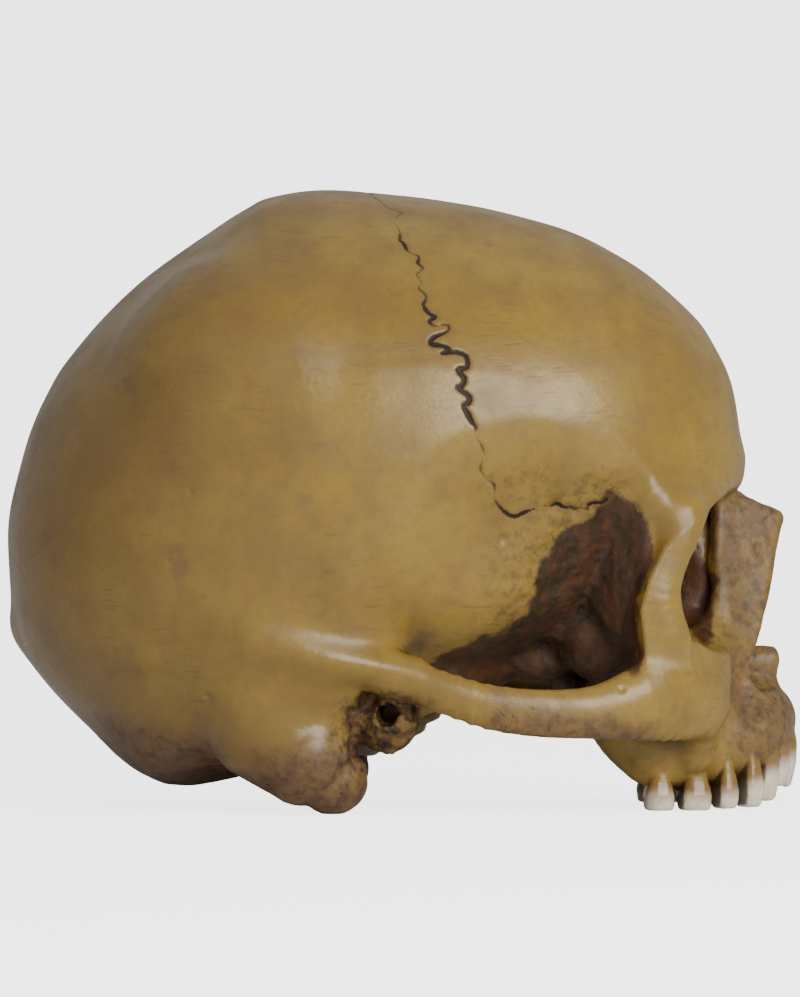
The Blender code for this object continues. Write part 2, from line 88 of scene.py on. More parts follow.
# Where each bone is parted from what is left, in order: outline as (x, z), and its reach in Y.
SUTURES = {
    "vomer": [(35, 29), (84.5, 34), (80.5, 46), (84.5, 62), (60, 68), (35, 48)],
    "nasal_bones": [(78.5, 74.5), (84, 66), (104, 60), (104, 84), (81, 84)],
    "zygomatic": [(24.5, 15.5), (66.5, 15.5), (70.5, 26), (75, 38), (80, 45), (80, 64.5),
                  (54, 64.5), (53, 45), (48, 38), (24.5, 38)],
    "maxilla": [(45, -10), (104, -10), (104, 84), (82, 79.5), (77.5, 70), (75, 52), (62, 42),
                (45, 37)],
    "frontal": [(21.8, 74.4), (30.4, 72.2), (40.5, 73), (50.7, 75), (56, 64.5), (110, 62),
                (110, 175), (-8, 175), (-7.7, 150), (-0.4, 138.6), (4.9, 123.3), (8.7, 116),
                (14, 106), (16.8, 92.3), (18.5, 83)],
    "parietal": [(21.8, 74.4), (60, 120), (60, 175), (-120, 175), (-120, 130), (-90, 118),
                 (-76, 100), (-62, 74), (-44, 46), (-24, 51), (-14, 63), (0, 71), (14, 73),
                 (24, 70)],
    "temporal": [(-40, -20), (24.2, -20), (24.2, 38), (27, 40), (28, 52), (24, 70), (14, 73),
                 (0, 71), (-14, 63), (-24, 51), (-44, 46), (-40, 20)],
    "occipital": [(-130, -20), (11, -20), (11, 34), (-30, 48), (-44, 60), (-60, 150), (-130, 150)],
}
# Reach past the skull's side, how far the parted bones start from the middle, and how near a face
# lies to a cut to count as on it.
WIDE = 100
VOMER_HALF_WIDTH = 1.8
NASAL_HALF_WIDTH = 7
CHEEK_START = 32
TEMPORAL_START = 22
CUT_TOLERANCE = 0.004

# Each tooth: x, y, width, depth, height of its neck and of its tip, and the arch's turn in degrees.
TEETH = [
    (93.9, 4.2, 7.8, 6.2, 15.5, 4.8, 100), (92, 10.8, 6.2, 6, 15, 5.2, 120),
    (88.6, 16, 6.8, 7.2, 13, 1.8, 132), (84, 20.4, 5.8, 8.2, 10.5, 0.5, 142),
    (78, 23.8, 5.8, 8.6, 8.4, 0.2, 154), (70.6, 26.3, 8, 9.8, 7, -0.6, 164),
    (62, 27.7, 7.6, 9.6, 6.8, -0.6, 172),
]
FRONT_TEETH = 3

# The coronal suture as (x, arc from the crown, half width), both unrolled from the braincase.
UNROLL_RADIUS = 70.0
CORONAL = [
    (-9.2, -3, 0.23), (-8.6, 3, 0.26), (-9.4, 8, 0.23), (-7.6, 11.4, 0.29), (-8.2, 15.2, 0.23),
    (-6.6, 20.1, 0.26), (-5.1, 24.8, 0.26), (-3.9, 27.7, 0.22), (-2, 28.8, 0.26),
    (-0.5, 30.2, 0.29), (-1.5, 32.3, 0.23), (-2.2, 36.2, 0.13), (-0.9, 40.1, 0.31),
    (-0.9, 43.4, 0.42), (0.1, 45, 0.45), (0.6, 46.7, 0.42), (1.6, 48, 0.23), (3.6, 49.2, 0.4),
    (3.4, 51.4, 0.42), (4.6, 53.1, 0.29), (3.2, 55.2, 0.26), (4.3, 57.6, 0.21),
    (3.6, 59.4, 0.29), (5.4, 61.4, 0.34), (4.7, 63.9, 0.45), (5.8, 66, 0.5), (7.6, 67, 0.48),
    (6.1, 68.4, 0.48), (7.6, 69.6, 0.26), (10.4, 68.9, 0.37), (10.4, 70.8, 0.42),
    (7.3, 72.5, 0.56), (6.4, 74.2, 0.64), (8.7, 74.6, 0.56), (10.9, 75.3, 0.48),
    (9.2, 76.6, 0.5), (12.3, 76.1, 0.54), (14.9, 77, 0.58), (15.1, 79.7, 0.62), (13, 80.5, 0.62),
    (14.4, 82.5, 0.64), (13.9, 84.3, 0.56), (12.7, 84.9, 0.5), (15.5, 86.9, 0.64),
    (15.5, 88.5, 0.64), (14.3, 89.4, 0.58), (15.3, 91.4, 0.7), (16.1, 93, 0.58),
    (17.2, 94.8, 0.37), (17, 96.7, 0.14), (18.7, 99.3, 0.31), (19.2, 101.6, 0.14),
    (18.3, 104.4, 0.31), (19.5, 107, 0.18), (21.6, 108.9, 0.37), (21.7, 111.5, 0.09),
    (22.1, 113.7, 0.31), (24, 116.5, 0.48), (26.4, 118.2, 0.58), (28.7, 117.1, 0.48),
    (31.1, 116, 0.31),
]

# Other open sutures as (x, arc or y, sideways swing, half width).
SPHENOID = [(33.5, 115.4, 0.4, 0.2), (36.6, 114.8, 0.5, 0.6), (39.5, 115.8, 0.5, 0.5),
            (43, 116.2, 0.6, 0.26), (46, 114.6, 0.5, 0.5), (49, 113.6, 0.5, 0.5)]
SAGITTAL = [(-8, 0, 0.6, 0.3), (-22, 0.6, 1.4, 0.4), (-40, -0.5, 1.6, 0.6), (-60, 0.4, 1.4, 0.5),
            (-81, 0, 1.2, 0.4)]

# The camera, in metres, its lens in millimetres, and where the lights aim.
CAMERA_PLACE = (-0.00086, -2.0, 0.0757)
CAMERA_LENS = 293.3
LIGHT_AIM = (0, 0, 0.07)

# The floor, in metres: half its side, its squares, and where and how high it rises far off.
FLOOR_REACH = 6
FLOOR_SQUARES = 24
RISE_START, RISE_HEIGHT = 2.6, 1.6

# Pits and small holes on the folded skull: centre, radius and depth.
PITS = [
    ((23.8, 55.8, 66.0), 1.1, 1.2), ((20.6, 62, 80.1), 0.8, 0.8), ((36, 54.2, 73.4), 1.8, 1.4),
    ((41.1, 52.5, 72.5), 1, 1), ((37.8, 39, 45.2), 2, 1.6), ((34.3, 29.5, 37), 2, 1.4),
    ((54.9, 56.8, 34.2), 0.9, 1.6), ((52.2, 59.8, 30.2), 0.7, 1), ((53.9, 31, 11.1), 1.6, 1.6),
    ((81, 26.5, 36), 1.9, 2.6), ((-50.9, 64, 77.5), 0.7, 0.6), ((-56.2, 62.5, 61), 0.6, 0.5),
    ((-53, 47.8, 16.7), 0.8, 0.8), ((-50.6, 47, 15.7), 0.6, 0.6), ((-47, 58.5, 28), 1, 1.2),
    ((76, 24, 78.5), 1.1, 1.2), ((-50, 8, 138), 0.7, 0.9), ((-12.8, 58.8, 24.7), 1.1, 0.9),
    ((-8.5, 58, 27), 2.2, 2), ((-1, 60, 18), 1.8, 1.6), ((-10, 57, 16), 2.4, 2),
    ((2, 57, 27), 1.6, 1.6), ((-8, 34, 12), 2.4, 3), ((2, 25, 18), 2, 2.2),
    ((-2, 31, 15), 1.6, 2), ((18, 24, 20), 1.8, 2.2),
    ((46, 14, 17.5), 1.5, 2), ((86, 0, 14), 1.6, 2.4), ((-14, 22, 10), 1.8, 2),
]

# Eroded places on the folded skull: centre, radii and strength of the roughness.
ROUGH_SPOTS = [
    ((-5, 54, 20), (15, 18, 14), 2), ((-20, 50, 8), (16, 16, 16), 0.6),
    ((38, 40, 56), (24, 24, 34), 1), ((38, 25, 38), (18, 16, 14), 1.3),
    ((84, 8, 60), (14, 16, 24), 0.5), ((10, 25, 20), (30, 30, 16), 0.8),
    ((46, 52, 76), (10, 9, 9), 0.9), ((60, 14, 40), (24, 16, 26), 0.6),
    ((66, 26, 16), (22, 14, 12), 0.25), ((-60, 20, 8), (34, 34, 20), 0.4),
    ((28, 56, 78), (14, 10, 10), 0.5), ((88, 12, 27), (12, 22, 12), 0.5),
    ((62, 26, 56), (22, 18, 20), 0.35),
]

# Stained places, some with painted shade: outline as (x, z), and the nearest and farthest distance
# from the mid-plane.
STAINS_AND_SHADE = {
    # The fossa behind the orbit and the inside of the orbit: partly the bone's red-brown wash,
    # partly painted shade of these recesses.
    "fossa": [
        ([(48.5, 79), (44.7, 72), (36.3, 66.9), (32.7, 60.9), (30.4, 51.3), (29.2, 48.4),
          (24.3, 44.6), (15.9, 41.8), (6.3, 37.3), (3.9, 35.4), (10, 30), (22, 20), (44, 16),
          (56, 24), (57.4, 39.5), (56.6, 46.5), (56.4, 51.5), (58.6, 55), (60.8, 61), (59.8, 68),
          (57.4, 73), (53, 77)], 12, 57),
        # The inside of the orbit: painted shade over the wash.
        ([(72, 66.8), (68.3, 59.6), (66.6, 51.1), (68.6, 43.8), (72.7, 39.5), (75.6, 41.3),
          (76, 50), (77.3, 55.9), (74, 61)], 4, 40),
    ],
    "ear": [
        ([(8, 27.5), (4.6, 23.3), (4, 18), (0, 13), (-6, 9.5), (-10, 7.6), (-12, 12), (-15, 19),
          (-15, 25.5), (-10, 29.5), (0, 29.5)], 30, 80),
        ([(-60, 2), (-45, 2), (-30, 5), (-30, 9), (-46, 12), (-60, 9)], 0, 66),
    ],
    "aged": [
        ([(73, 80), (93, 75), (91, 60), (88, 42), (80, 39), (76, 55)], -1, 26),
        ([(77, 40), (92, 42), (99, 26), (98, 13), (80, 12), (75, 27)], -1, 32),
        ([(20, 31), (40, 26), (60, 22), (62, 14), (35, 14), (18, 18)], 44, 80),
        ([(-36, 16), (-10, 18), (-6, -4), (-36, -4)], 30, 80),
        ([(-74, 24), (-44, 17), (-36, 2), (-62, 0), (-76, 12)], -1, 72),
    ],
}


def smooth_min(a, b, blend):
    """The lower of two fields, rounded over where they come within blend of each other."""
    share = np.clip(0.5 + 0.5 * (b - a) / blend, 0, 1)
    return b + (a - b) * share - blend * share * (1 - share)


class Form:
    """A rounded shape: its box, and a function from points to distance outside it."""

    def __init__(self, low, high, distance):
        self.low = np.array(low, float)
        self.high = np.array(high, float)
        self.distance = distance


def ellipsoid(centre, radii, turn=(0, 0, 0)):
    """An ellipsoid turned by Euler angles in degrees: k (k - 1) / |gradient of k|, where k is the
    length of p / radii in its own axes."""
    axes = np.array(Euler([math.radians(angle) for angle in turn]).to_matrix())
    centre, radii = np.array(centre, float), np.array(radii, float)
    reach = np.sqrt(((axes * radii) ** 2).sum(1))

    def distance(p):
        local = np.tensordot(axes.T, p - centre[:, None], 1)
        inside = np.sqrt(((local / radii[:, None]) ** 2).sum(0))
        slope = np.sqrt(((local / radii[:, None] ** 2) ** 2).sum(0))
        return inside * (inside - 1) / np.maximum(slope, 1e-6)

    return Form(centre - reach, centre + reach, distance)


def smooth_path(rows, steps):
    """Rows of numbers as a Catmull-Rom curve, with steps pieces between each two."""
    rows = np.array(rows, float)
    padded = np.vstack([2 * rows[0] - rows[1], rows, 2 * rows[-1] - rows[-2]])
    made = []
    for a, b, c, d in zip(padded, padded[1:], padded[2:], padded[3:]):
        for t in np.arange(steps) / steps:
            made.append(0.5 * (2 * b + (c - a) * t + (2 * a - 5 * b + 4 * c - d) * t**2
                               + (3 * b - a - 3 * c + d) * t**3))
    return np.array(made + [rows[-1]])


def from_segment(p, a, b):
    """The way to points from the nearest place on a segment, and how far along that place is."""
    along = (b - a)[:3]
    t = np.clip(((p - a[:3, None]) * along[:, None]).sum(0) / (along @ along), 0, 1)
    return p - a[:3, None] - along[:, None] * t, t


def bar(stations, steps=3):
    """A bent bar through stations of (x, y, z, half height, half width), oval in section."""
    rows = smooth_path(stations, steps)
    reach = rows[:, 3:].max(1)[:, None]

    def distance(p):
        best = np.full(p.shape[1], 1e3, np.float32)
        for a, b in zip(rows, rows[1:]):
            off, t = from_segment(p, a, b)
            up, side = np.abs(off[2]), np.hypot(off[0], off[1])
            high, wide = a[3] + (b[3] - a[3]) * t, a[4] + (b[4] - a[4]) * t
            inside = np.hypot(up / high, side / wide)
            slope = np.hypot(up / high**2, side / wide**2)
            best = np.minimum(best, inside * (inside - 1) / np.maximum(slope, 1e-6))
        return best

    return Form((rows[:, :3] - reach).min(0), (rows[:, :3] + reach).max(0), distance)


def ball_chain(stations):
    """Round cones through stations of (x, y, z, radius)."""
    rows = np.array(stations, float)
    reach = rows[:, 3:]

    def distance(p):
        best = np.full(p.shape[1], 1e3, np.float32)
        for a, b in zip(rows, rows[1:]):
            off, t = from_segment(p, a, b)
            best = np.minimum(best, np.sqrt((off**2).sum(0)) - a[3] - (b[3] - a[3]) * t)
        return best

    return Form((rows[:, :3] - reach).min(0), (rows[:, :3] + reach).max(0), distance)


def outline_distance(u, v, outline):
    """Distance outside a closed outline in a plane, negative inside it."""
    outline = np.array(outline, float)
    nearest, inside = np.full(u.shape, 1e6, np.float32), np.zeros(u.shape, bool)
    for (ax, ay), (bx, by) in zip(outline, np.roll(outline, -1, 0)):
        ex, ey = bx - ax, by - ay
        t = np.clip(((u - ax) * ex + (v - ay) * ey) / (ex * ex + ey * ey), 0, 1)
        nearest = np.minimum(nearest, (u - ax - ex * t) ** 2 + (v - ay - ey * t) ** 2)
        if ey:
            inside ^= ((ay > v) != (by > v)) & (u < ax + ex * (v - ay) / ey)
    return np.where(inside, -1, 1) * np.sqrt(nearest)


def plate(origin, across, up, outline, half_thickness, rounding=0.8):
    """A flat plate: an outline drawn along two directions from an origin, thick both ways."""
    across = np.array(across, float) / np.linalg.norm(across)
    up = np.array(up, float) - across * (np.array(up, float) @ across)
    up /= np.linalg.norm(up)
    normal = np.cross(across, up)
    origin, outline = np.array(origin, float), np.array(outline, float)
    corners = origin + outline[:, :1] * across + outline[:, 1:] * up
    reach = half_thickness + rounding

    def distance(p):
        local = p - origin[:, None]
        w = np.abs((local * normal[:, None]).sum(0)) - half_thickness + rounding
        flat = rounding + outline_distance((local * across[:, None]).sum(0),
                                           (local * up[:, None]).sum(0), outline)
        outside = np.hypot(np.maximum(flat, 0), np.maximum(w, 0))
        return np.minimum(np.maximum(flat, w), 0) + outside - rounding

    return Form((corners - reach).min(0), (corners + reach).max(0), distance)


def near(form, p, blend):
    """Indices of the points close enough to a form for it to matter."""
    margin = blend + 4
    at = np.arange(p.shape[1])
    for axis in range(3):
        here = p[axis, at]
        at = at[(here > form.low[axis] - margin) & (here < form.high[axis] + margin)]
    return at


def add(field, p, form, blend):
    """Joins a form to the field with a fillet of about blend."""
    at = near(form, p, blend)
    if len(at):
        field[at] = smooth_min(field[at], form.distance(p[:, at]), blend)


def carve(field, p, form, blend):
    """Takes a form out of the field with a rounded lip of about blend."""
    at = near(form, p, blend)
    if len(at):
        field[at] = -smooth_min(-field[at], form.distance(p[:, at]), blend)


def vault(p):
    """Distance along the ray from the braincase's centre, whose section round the Y axis is the
    midline outline, closed to each side by a superellipse of varying fullness."""
    loop = np.array(VAULT_OUTLINE + VAULT_OUTLINE[:3], float)
    curve = smooth_path(loop, 6)[6 : 6 * (len(VAULT_OUTLINE) + 1)] - VAULT_CENTRE
    angle = np.degrees(np.arctan2(curve[:, 1], curve[:, 0]))
    order = np.argsort(angle)
    radius = np.hypot(curve[:, 0], curve[:, 1])[order]
    x, z = p[0] - VAULT_CENTRE[0], p[2] - VAULT_CENTRE[1]
    here = np.degrees(np.arctan2(z, x))
    reach = np.interp(here, angle[order], radius, period=360)
    power = np.interp(here, *np.array(VAULT_FULLNESS, float).T)
    ratio = ((np.hypot(x, z) / reach) ** power + (p[1] / VAULT_HALF_WIDTH) ** power) ** (1 / power)
    ratio = np.maximum(ratio, 1e-3)
    return (np.sqrt(x**2 + z**2 + p[1] ** 2) * (1 - 1 / ratio)).astype(np.float32)


def vault_swellings(field, p):
    """Parietal and frontal eminences and the temporal line."""
    add(field, p, ellipsoid((-38, 40, 107), (27, 23, 24)), 12)
    add(field, p, ellipsoid((52, 26, 105), (15.5, 16, 16)), 8)
    add(field, p, bar([(65.9, 48.6, 65, 1.4, 1.4), (63.4, 48.9, 72, 1.3, 1.3),
                       (59.4, 48.9, 79.5, 1.3, 1.3), (50.6, 51.8, 90, 1.4, 1.4),
                       (32, 56, 101, 2, 2), (4, 61, 106, 2, 2), (-24, 62, 102, 2, 2)]), 3)


def base_of_skull(field, p):
    """Cerebellar swellings, mastoids, petrous ridges, basilar bar and condyles."""
    add(field, p, ellipsoid((-51, 23, 28.5), (22.5, 25, 20.8)), 8)
    add(field, p, ellipsoid((-90, 0, 44.5), (4.6, 12, 4.6)), 6)
    add(field, p, bar([(-90, 4, 45, 3, 3), (-82, 30, 44, 3, 3), (-62, 50, 40, 3, 3)]), 5)
    add(field, p, ellipsoid((-26, 49, 34), (21, 15, 18)), 10)
    add(field, p, ball_chain([(-33, 49, 21.2, 14), (-24, 52, 14, 12), (-17, 51, 8, 8.4)]), 5)
    add(field, p, bar([(-10, 48, 24, 5, 6), (6, 37, 29, 5, 6.5), (18, 18, 33.5, 5, 8)]), 6)
    add(field, p, bar([(-10, 0, 16, 3.4, 12), (2, 0, 26, 3.6, 11), (14, 0, 33.5, 4, 10),
                       (26, 0, 38, 5, 10)]), 4)
    add(field, p, ellipsoid((-18, 15.5, 9), (9.5, 5, 5.5), (0, 10, 22)), 2)
    add(field, p, bar([(-34, 62, 42, 3, 4), (-18, 63, 37, 3, 4), (2, 60, 34, 4, 4)]), 6)
    add(field, p, ellipsoid((-3, 54, 22), (6.6, 8, 7.3)), 3)
    add(field, p, ball_chain([(-7, 41, 20, 3), (-3, 38, 16.5, 1.8)]), 2)
    add(field, p, ellipsoid((33, 22, 36), (9, 6, 5.3)), 3)


def face_blocks(field, p):
    """Ethmoid core, maxilla and alveolar arch, before any hollow."""
    add(field, p, ellipsoid((60, 0, 56), (24, 14, 26)), 5)
    add(field, p, ellipsoid((64, 18, 32), (19, 14, 17)), 6)
    add(field, p, ellipsoid((58, 10, 26), (18, 18, 8)), 6)
    add(field, p, ellipsoid((77, 0, 26), (13, 14, 9)), 5)
    add(field, p, bar([(91.6, 0, 21.4, 7.4, 4.9), (89.8, 9, 20.8, 8.2, 5.1),
                       (84.4, 16.5, 19, 9.5, 5.6), (77, 20.8, 16.5, 9.8, 6),
                       (69.5, 24, 15.5, 10, 6.6),
                       (60.5, 25.8, 15, 9.8, 6.4), (53.5, 26, 17.6, 7, 5.4),
                       (49.5, 25, 20, 4.6, 4)]), 4)
    add(field, p, ball_chain([(87, 16.5, 15, 3.6), (86, 17, 24, 3), (84.5, 15, 33, 2)]), 3)
    add(field, p, bar([(38, 14, 40, 5, 5), (39, 16, 31, 5, 3.6), (41, 17, 23, 4, 3)]), 3)


def brow(field, p):
    """Brow ridges and glabella."""
    add(field, p, ellipsoid((73.6, 0, 84.4), (6, 14, 8)), 6)
    add(field, p, bar([(77.5, 10, 81, 4, 5), (75, 22, 79.5, 4, 5), (71.5, 36, 76, 4, 5),
                       (67, 46, 69, 5, 4.4)]), 6)


def cheek(field, p):
    """The cheekbone with its pillar beside the orbit, and the arch back to the ear."""
    add(field, p, bar([(67.5, 46, 72, 5, 4.6), (66.2, 48, 64, 5, 4.4), (63, 49.5, 57, 5, 3.9),
                       (61.5, 50, 51, 5, 4.8), (62.5, 48.5, 44, 6, 6)]), 4)
    add(field, p, bar([(76, 27, 36, 8, 5), (72, 36, 30.5, 12, 6), (65, 45.5, 29.5, 12.3, 6.2),
                       (57, 53, 27, 9.6, 5.4), (46, 58.5, 24.6, 6.7, 3.8),
                       (33, 62, 24.4, 5.9, 2.9), (20, 63.5, 26.1, 5.6, 2.8),
                       (9, 62.5, 29.6, 5.3, 3.4), (-4, 59.5, 33.5, 5, 5)]), 3)
    add(field, p, plate((61.5, 51.4, 51), (0.94, -0.34, 0), (0, 0, 1),
                        [(-5.2, -17), (-4.9, -11.6), (-6, -2), (-3.9, 5.2), (0, 12.8), (3, 15.9),
                         (8.3, 19.5), (6.1, 11.2), (4.5, 2.8), (5, -4.4), (7.6, -9.2), (8, -17)],
                        2.6, 0.9), 2)
    add(field, p, bar([(72, 33, 24, 4, 6), (71, 30, 14, 4, 3)]), 5)


def nose(field, p):
    """The nasal bones' ridge and the side walls down to the maxilla."""
    add(field, p, bar([(76.2, 0, 75.2, 4.8, 7), (83, 0, 72.4, 3.2, 6), (86.8, 0, 71.4, 3, 5.2),
                       (89.3, 0, 70.6, 2.8, 4.1)]), 3)
    add(field, p, plate((90, 7.6, 56), (0.885, -0.466, 0), (5.5, -9, 28),
                        [(4.2, 16), (4, 14), (1.4, 5.9), (-0.3, -0.4), (-1.7, -5.4), (-3.9, -11.6),
                         (-5.8, -16.3), (-8.7, -24), (-20, -24), (-19, -8), (-16, 5), (-14, 20),
                         (-4, 20)], 2, 1.5), 3)


def orbits(field, p):
    """The eye sockets, tapering back and inwards, each with a hollow for the tear sac."""
    carve(field, p, ball_chain([(86, 37, 56, 19), (68, 31, 57.5, 17), (37, 17, 57, 5)]), 2)
    carve(field, p, ellipsoid((66, 18, 56.5), (10, 7.5, 13)), 2)


def nasal_cavity(field, p):
    """The pear-shaped opening and the passage behind it, with its septum and scrolls."""
    pear = [(-8, 37), (8, 37), (10.4, 41), (9.4, 48), (7.4, 55), (5, 62), (3, 67),
            (-3, 67), (-5, 62), (-7.4, 55), (-9.4, 48), (-10.4, 41)]
    carve(field, p, plate((84, 0, 0), (0, 1, 0), (0, 0, 1), pear, 24, 1), 1.5)
    carve(field, p, ellipsoid((60, 0, 47), (22, 10, 14)), 2)
    carve(field, p, ball_chain([(58, 6, 38, 5.5), (28, 7, 33, 6.5)]), 2)
    add(field, p, plate((0, 0, 0), (1, 0, 0), (0, 0, 1),
                        [(38, 28), (84, 33), (80, 46), (84, 64), (60, 70), (36, 45)],
                        1.1, 0.5), 1.5)
    add(field, p, ball_chain([(78, 9.5, 46, 2), (72, 8.5, 45, 3), (52, 8.5, 43, 2.5)]), 1.2)
    add(field, p, ball_chain([(74, 6.5, 56, 2), (66, 6, 55, 2.8), (52, 6, 52, 2)]), 1.2)
    add(field, p, bar([(82, 0, 35, 4, 5), (87, 0, 36, 3.8, 3), (90.6, 0, 36.4, 3.2, 2)]), 2)
    add(field, p, bar([(89.5, 0, 34, 3, 2), (89, 0, 28, 4, 3.4)]), 3)


def hollows(field, p):
    """Palate, foramen magnum, ear canals, jaw sockets, canine fossae and the sides of the nose."""
    carve(field, p, ellipsoid((62, 0, 5), (24, 18, 17)), 3)
    carve(field, p, ellipsoid((-27, 0, 10), (17, 14.5, 34)), 2)
    carve(field, p, ball_chain([(-4.2, 68, 24, 2.7), (-2, 42, 24, 2.2)]), 1)
    carve(field, p, ellipsoid((11, 50, 23), (6.5, 10, 6)), 3)
    carve(field, p, ellipsoid((86.5, 25, 33), (8, 10, 12)), 3)
    carve(field, p, ellipsoid((87, 17.6, 58), (8, 4.4, 12)), 3)


def tooth(x, y, width, depth, neck, tip, turn, front):
    """A tooth: a rounded box whose width and depth swell from the neck to the crown and narrow
    again to the biting end, which is an edge in front and has four cusps at the sides."""
    across = np.array([math.cos(math.radians(turn)), math.sin(math.radians(turn)), 0])
    out = np.array([across[1], -across[0], 0])
    centre = np.array([x, y, 0.0])
    reach = np.array([max(width, depth) * 0.7, max(width, depth) * 0.7, 0])
    stops = [-0.2, 0, 0.2, 0.55, 1, 1.25, 2.2]
    wide = [0.66, 0.76, 0.93, 1, 0.78, 0.62, 0.3]
    deep = [0.64, 0.76, 0.92, 1, 0.84, 0.68, 0.4]
    power = 3.0
    if front:
        deep, power = [0.3, 0.36, 0.52, 0.82, 0.9, 0.74, 0.4], 2.3

    def distance(p):
        local = p - centre[:, None]
        u, v = (local * across[:, None]).sum(0), (local * out[:, None]).sum(0)
        level = (p[2] - tip) / (neck - tip)
        half_width = np.interp(level, stops, wide) * width / 2
        half_depth = np.interp(level, stops, deep) * depth / 2
        ratio = (np.abs(u) / half_width) ** power + (np.abs(v) / half_depth) ** power
        ratio = ratio ** (1 / power)
        side = (ratio - 1) * np.minimum(half_width, half_depth)
        cusps = (np.cos(np.pi * np.clip(2 * u / width, -1, 1) * 1.6)
                 + np.cos(np.pi * np.clip(2 * v / depth, -1, 1) * 1.3) - 0.4)
        dip = 0 if front else 1.3 * cusps / 2
        end = tip + np.maximum(dip, 0) - p[2]
        crown = -smooth_min(-side, -end, 1.1)
        return np.maximum(crown, p[2] - neck - 9)

    return Form(centre - reach + [0, 0, tip - 1], centre + reach + [0, 0, neck + 10], distance)


def crowns(p):
    """Distance outside the nearest tooth."""
    found = np.full(p.shape[1], 60.0, np.float32)
    for number, row in enumerate(TEETH):
        form = tooth(*row, number < FRONT_TEETH)
        at = near(form, p, 2)
        if len(at):
            found[at] = np.minimum(found[at], form.distance(p[:, at]))
    return found


def bone_field(p):
    """Distance outside the cranium without its teeth, at points whose Y is folded to one side."""
    field = vault(p)
    vault_swellings(field, p)
    face_blocks(field, p)
    carve(field, p, ellipsoid((42, 96, 56), (50, 44, 48)), 8)
    carve(field, p, ellipsoid((45, 69, 38), (23, 28, 36)), 4)
    carve(field, p, ellipsoid((40, 60, 15), (23, 32, 21)), 4)
    add(field, p, ball_chain([(59, 27, 57.5, 19.6), (37, 17, 57, 8)]), 3)
    add(field, p, plate((54, 43.5, 58), (12, 10, 0), (0, 0, 1),
                        [(-11, -6), (-4, -15), (8, -20), (8, 18), (-11, 20)], 2.4, 1.5), 5)
    add(field, p, ellipsoid((47, 28, 43), (11, 9, 11)), 5)
    add(field, p, ellipsoid((59, 40, 75), (10, 9.5, 10)), 6)
    base_of_skull(field, p)
    brow(field, p)
    cheek(field, p)
    nose(field, p)
    orbits(field, p)
    nasal_cavity(field, p)
    hollows(field, p)
    return field


def lattice_noise(p, size, seed):
    """Smooth noise in -1..1: random values on a cubic lattice of that size, blended by 3t2 - 2t3.
    The lattice repeats after LATTICE cells."""
    table = np.random.default_rng(seed).random(LATTICE**3, np.float32) * 2 - 1
    place = p / np.float32(size) + np.float32(seed * 5.37 + 40)
    cell = np.floor(place)
    t = place - cell
    t = t * t * (3 - 2 * t)
    low = cell.astype(np.int32) % LATTICE
    high = (low + 1) % LATTICE
    made = np.zeros(p.shape[1], np.float32)
    for x, share_x in ((low[0], 1 - t[0]), (high[0], t[0])):
        for y, share_y in ((low[1], 1 - t[1]), (high[1], t[1])):
            for z, share_z in ((low[2], 1 - t[2]), (high[2], t[2])):
                at = (x * LATTICE + y) * LATTICE + z
                made += table[at] * (share_x * share_y * share_z)
    return made


def folded(p):
    """Points with their Y folded to the left side."""
    return np.stack([p[0], np.abs(p[1]), p[2]])


def uneven_sides(p):
    """Points folded to the left side after a slight wander in Y, so that the two sides differ."""
    return folded(p + np.array([[0], [1], [0]]) * 0.7 * lattice_noise(p, 70, 11))


def spot(p, centre, radii):
    """1 at a centre, falling to 0 past its radii as 1 - r2."""
    local = (p - np.array(centre, np.float32)[:, None]) / np.array(radii, np.float32)[:, None]
    return np.clip(1 - (local**2).sum(0), 0, 1)


def zigzag(rows, loops, seed):
    """A line through rows of (u, v, swing, half width) with side-to-side loops of that swing:
    offset = swing * (sin(a) + 0.45 sin(2.65 a + 1.3)) and pull = 0.5 * swing * sin(2 a) along the
    line, where a = 2 pi * loops * the length along the line, with a seeded wander."""
    curve = smooth_path(rows, 8)
    step = np.diff(curve[:, :2], axis=0)
    length = np.concatenate([[0], np.cumsum(np.hypot(*step.T))])
    s = np.arange(0, length[-1], 0.35)
    u, v, swing, width = (np.interp(s, length, curve[:, i]) for i in range(4))
    along = np.stack([np.gradient(u), np.gradient(v)])
    along /= np.hypot(*along)
    knots = np.arange(0, length[-1] + 6, 3)
    wander = np.interp(s, knots, np.random.default_rng(seed).normal(0, 0.55, len(knots)))
    turn = 2 * np.pi * (s * loops + wander * 0.35)
    out = swing * (np.sin(turn) + 0.45 * np.sin(2.65 * turn + 1.3)) * (1 + 0.35 * wander)
    pull = 0.5 * swing * np.sin(2 * turn)
    u, v = u - along[1] * out + along[0] * pull, v + along[0] * out + along[1] * pull
    return np.stack([u, v, width * (1 + 0.3 * wander)], 1)


def line_distance(u, v, rows, found, width):
    """Lowers found to the distance from (u, v) to a line, and keeps the line's width there."""
    for (ax, ay, wide), (bx, by, _) in zip(rows, rows[1:]):
        ex, ey = bx - ax, by - ay
        t = np.clip(((u - ax) * ex + (v - ay) * ey) / (ex * ex + ey * ey + 1e-9), 0, 1)
        away = np.hypot(u - ax - ex * t, v - ay - ey * t)
        closer = away < found
        found[closer], width[closer] = away[closer], wide


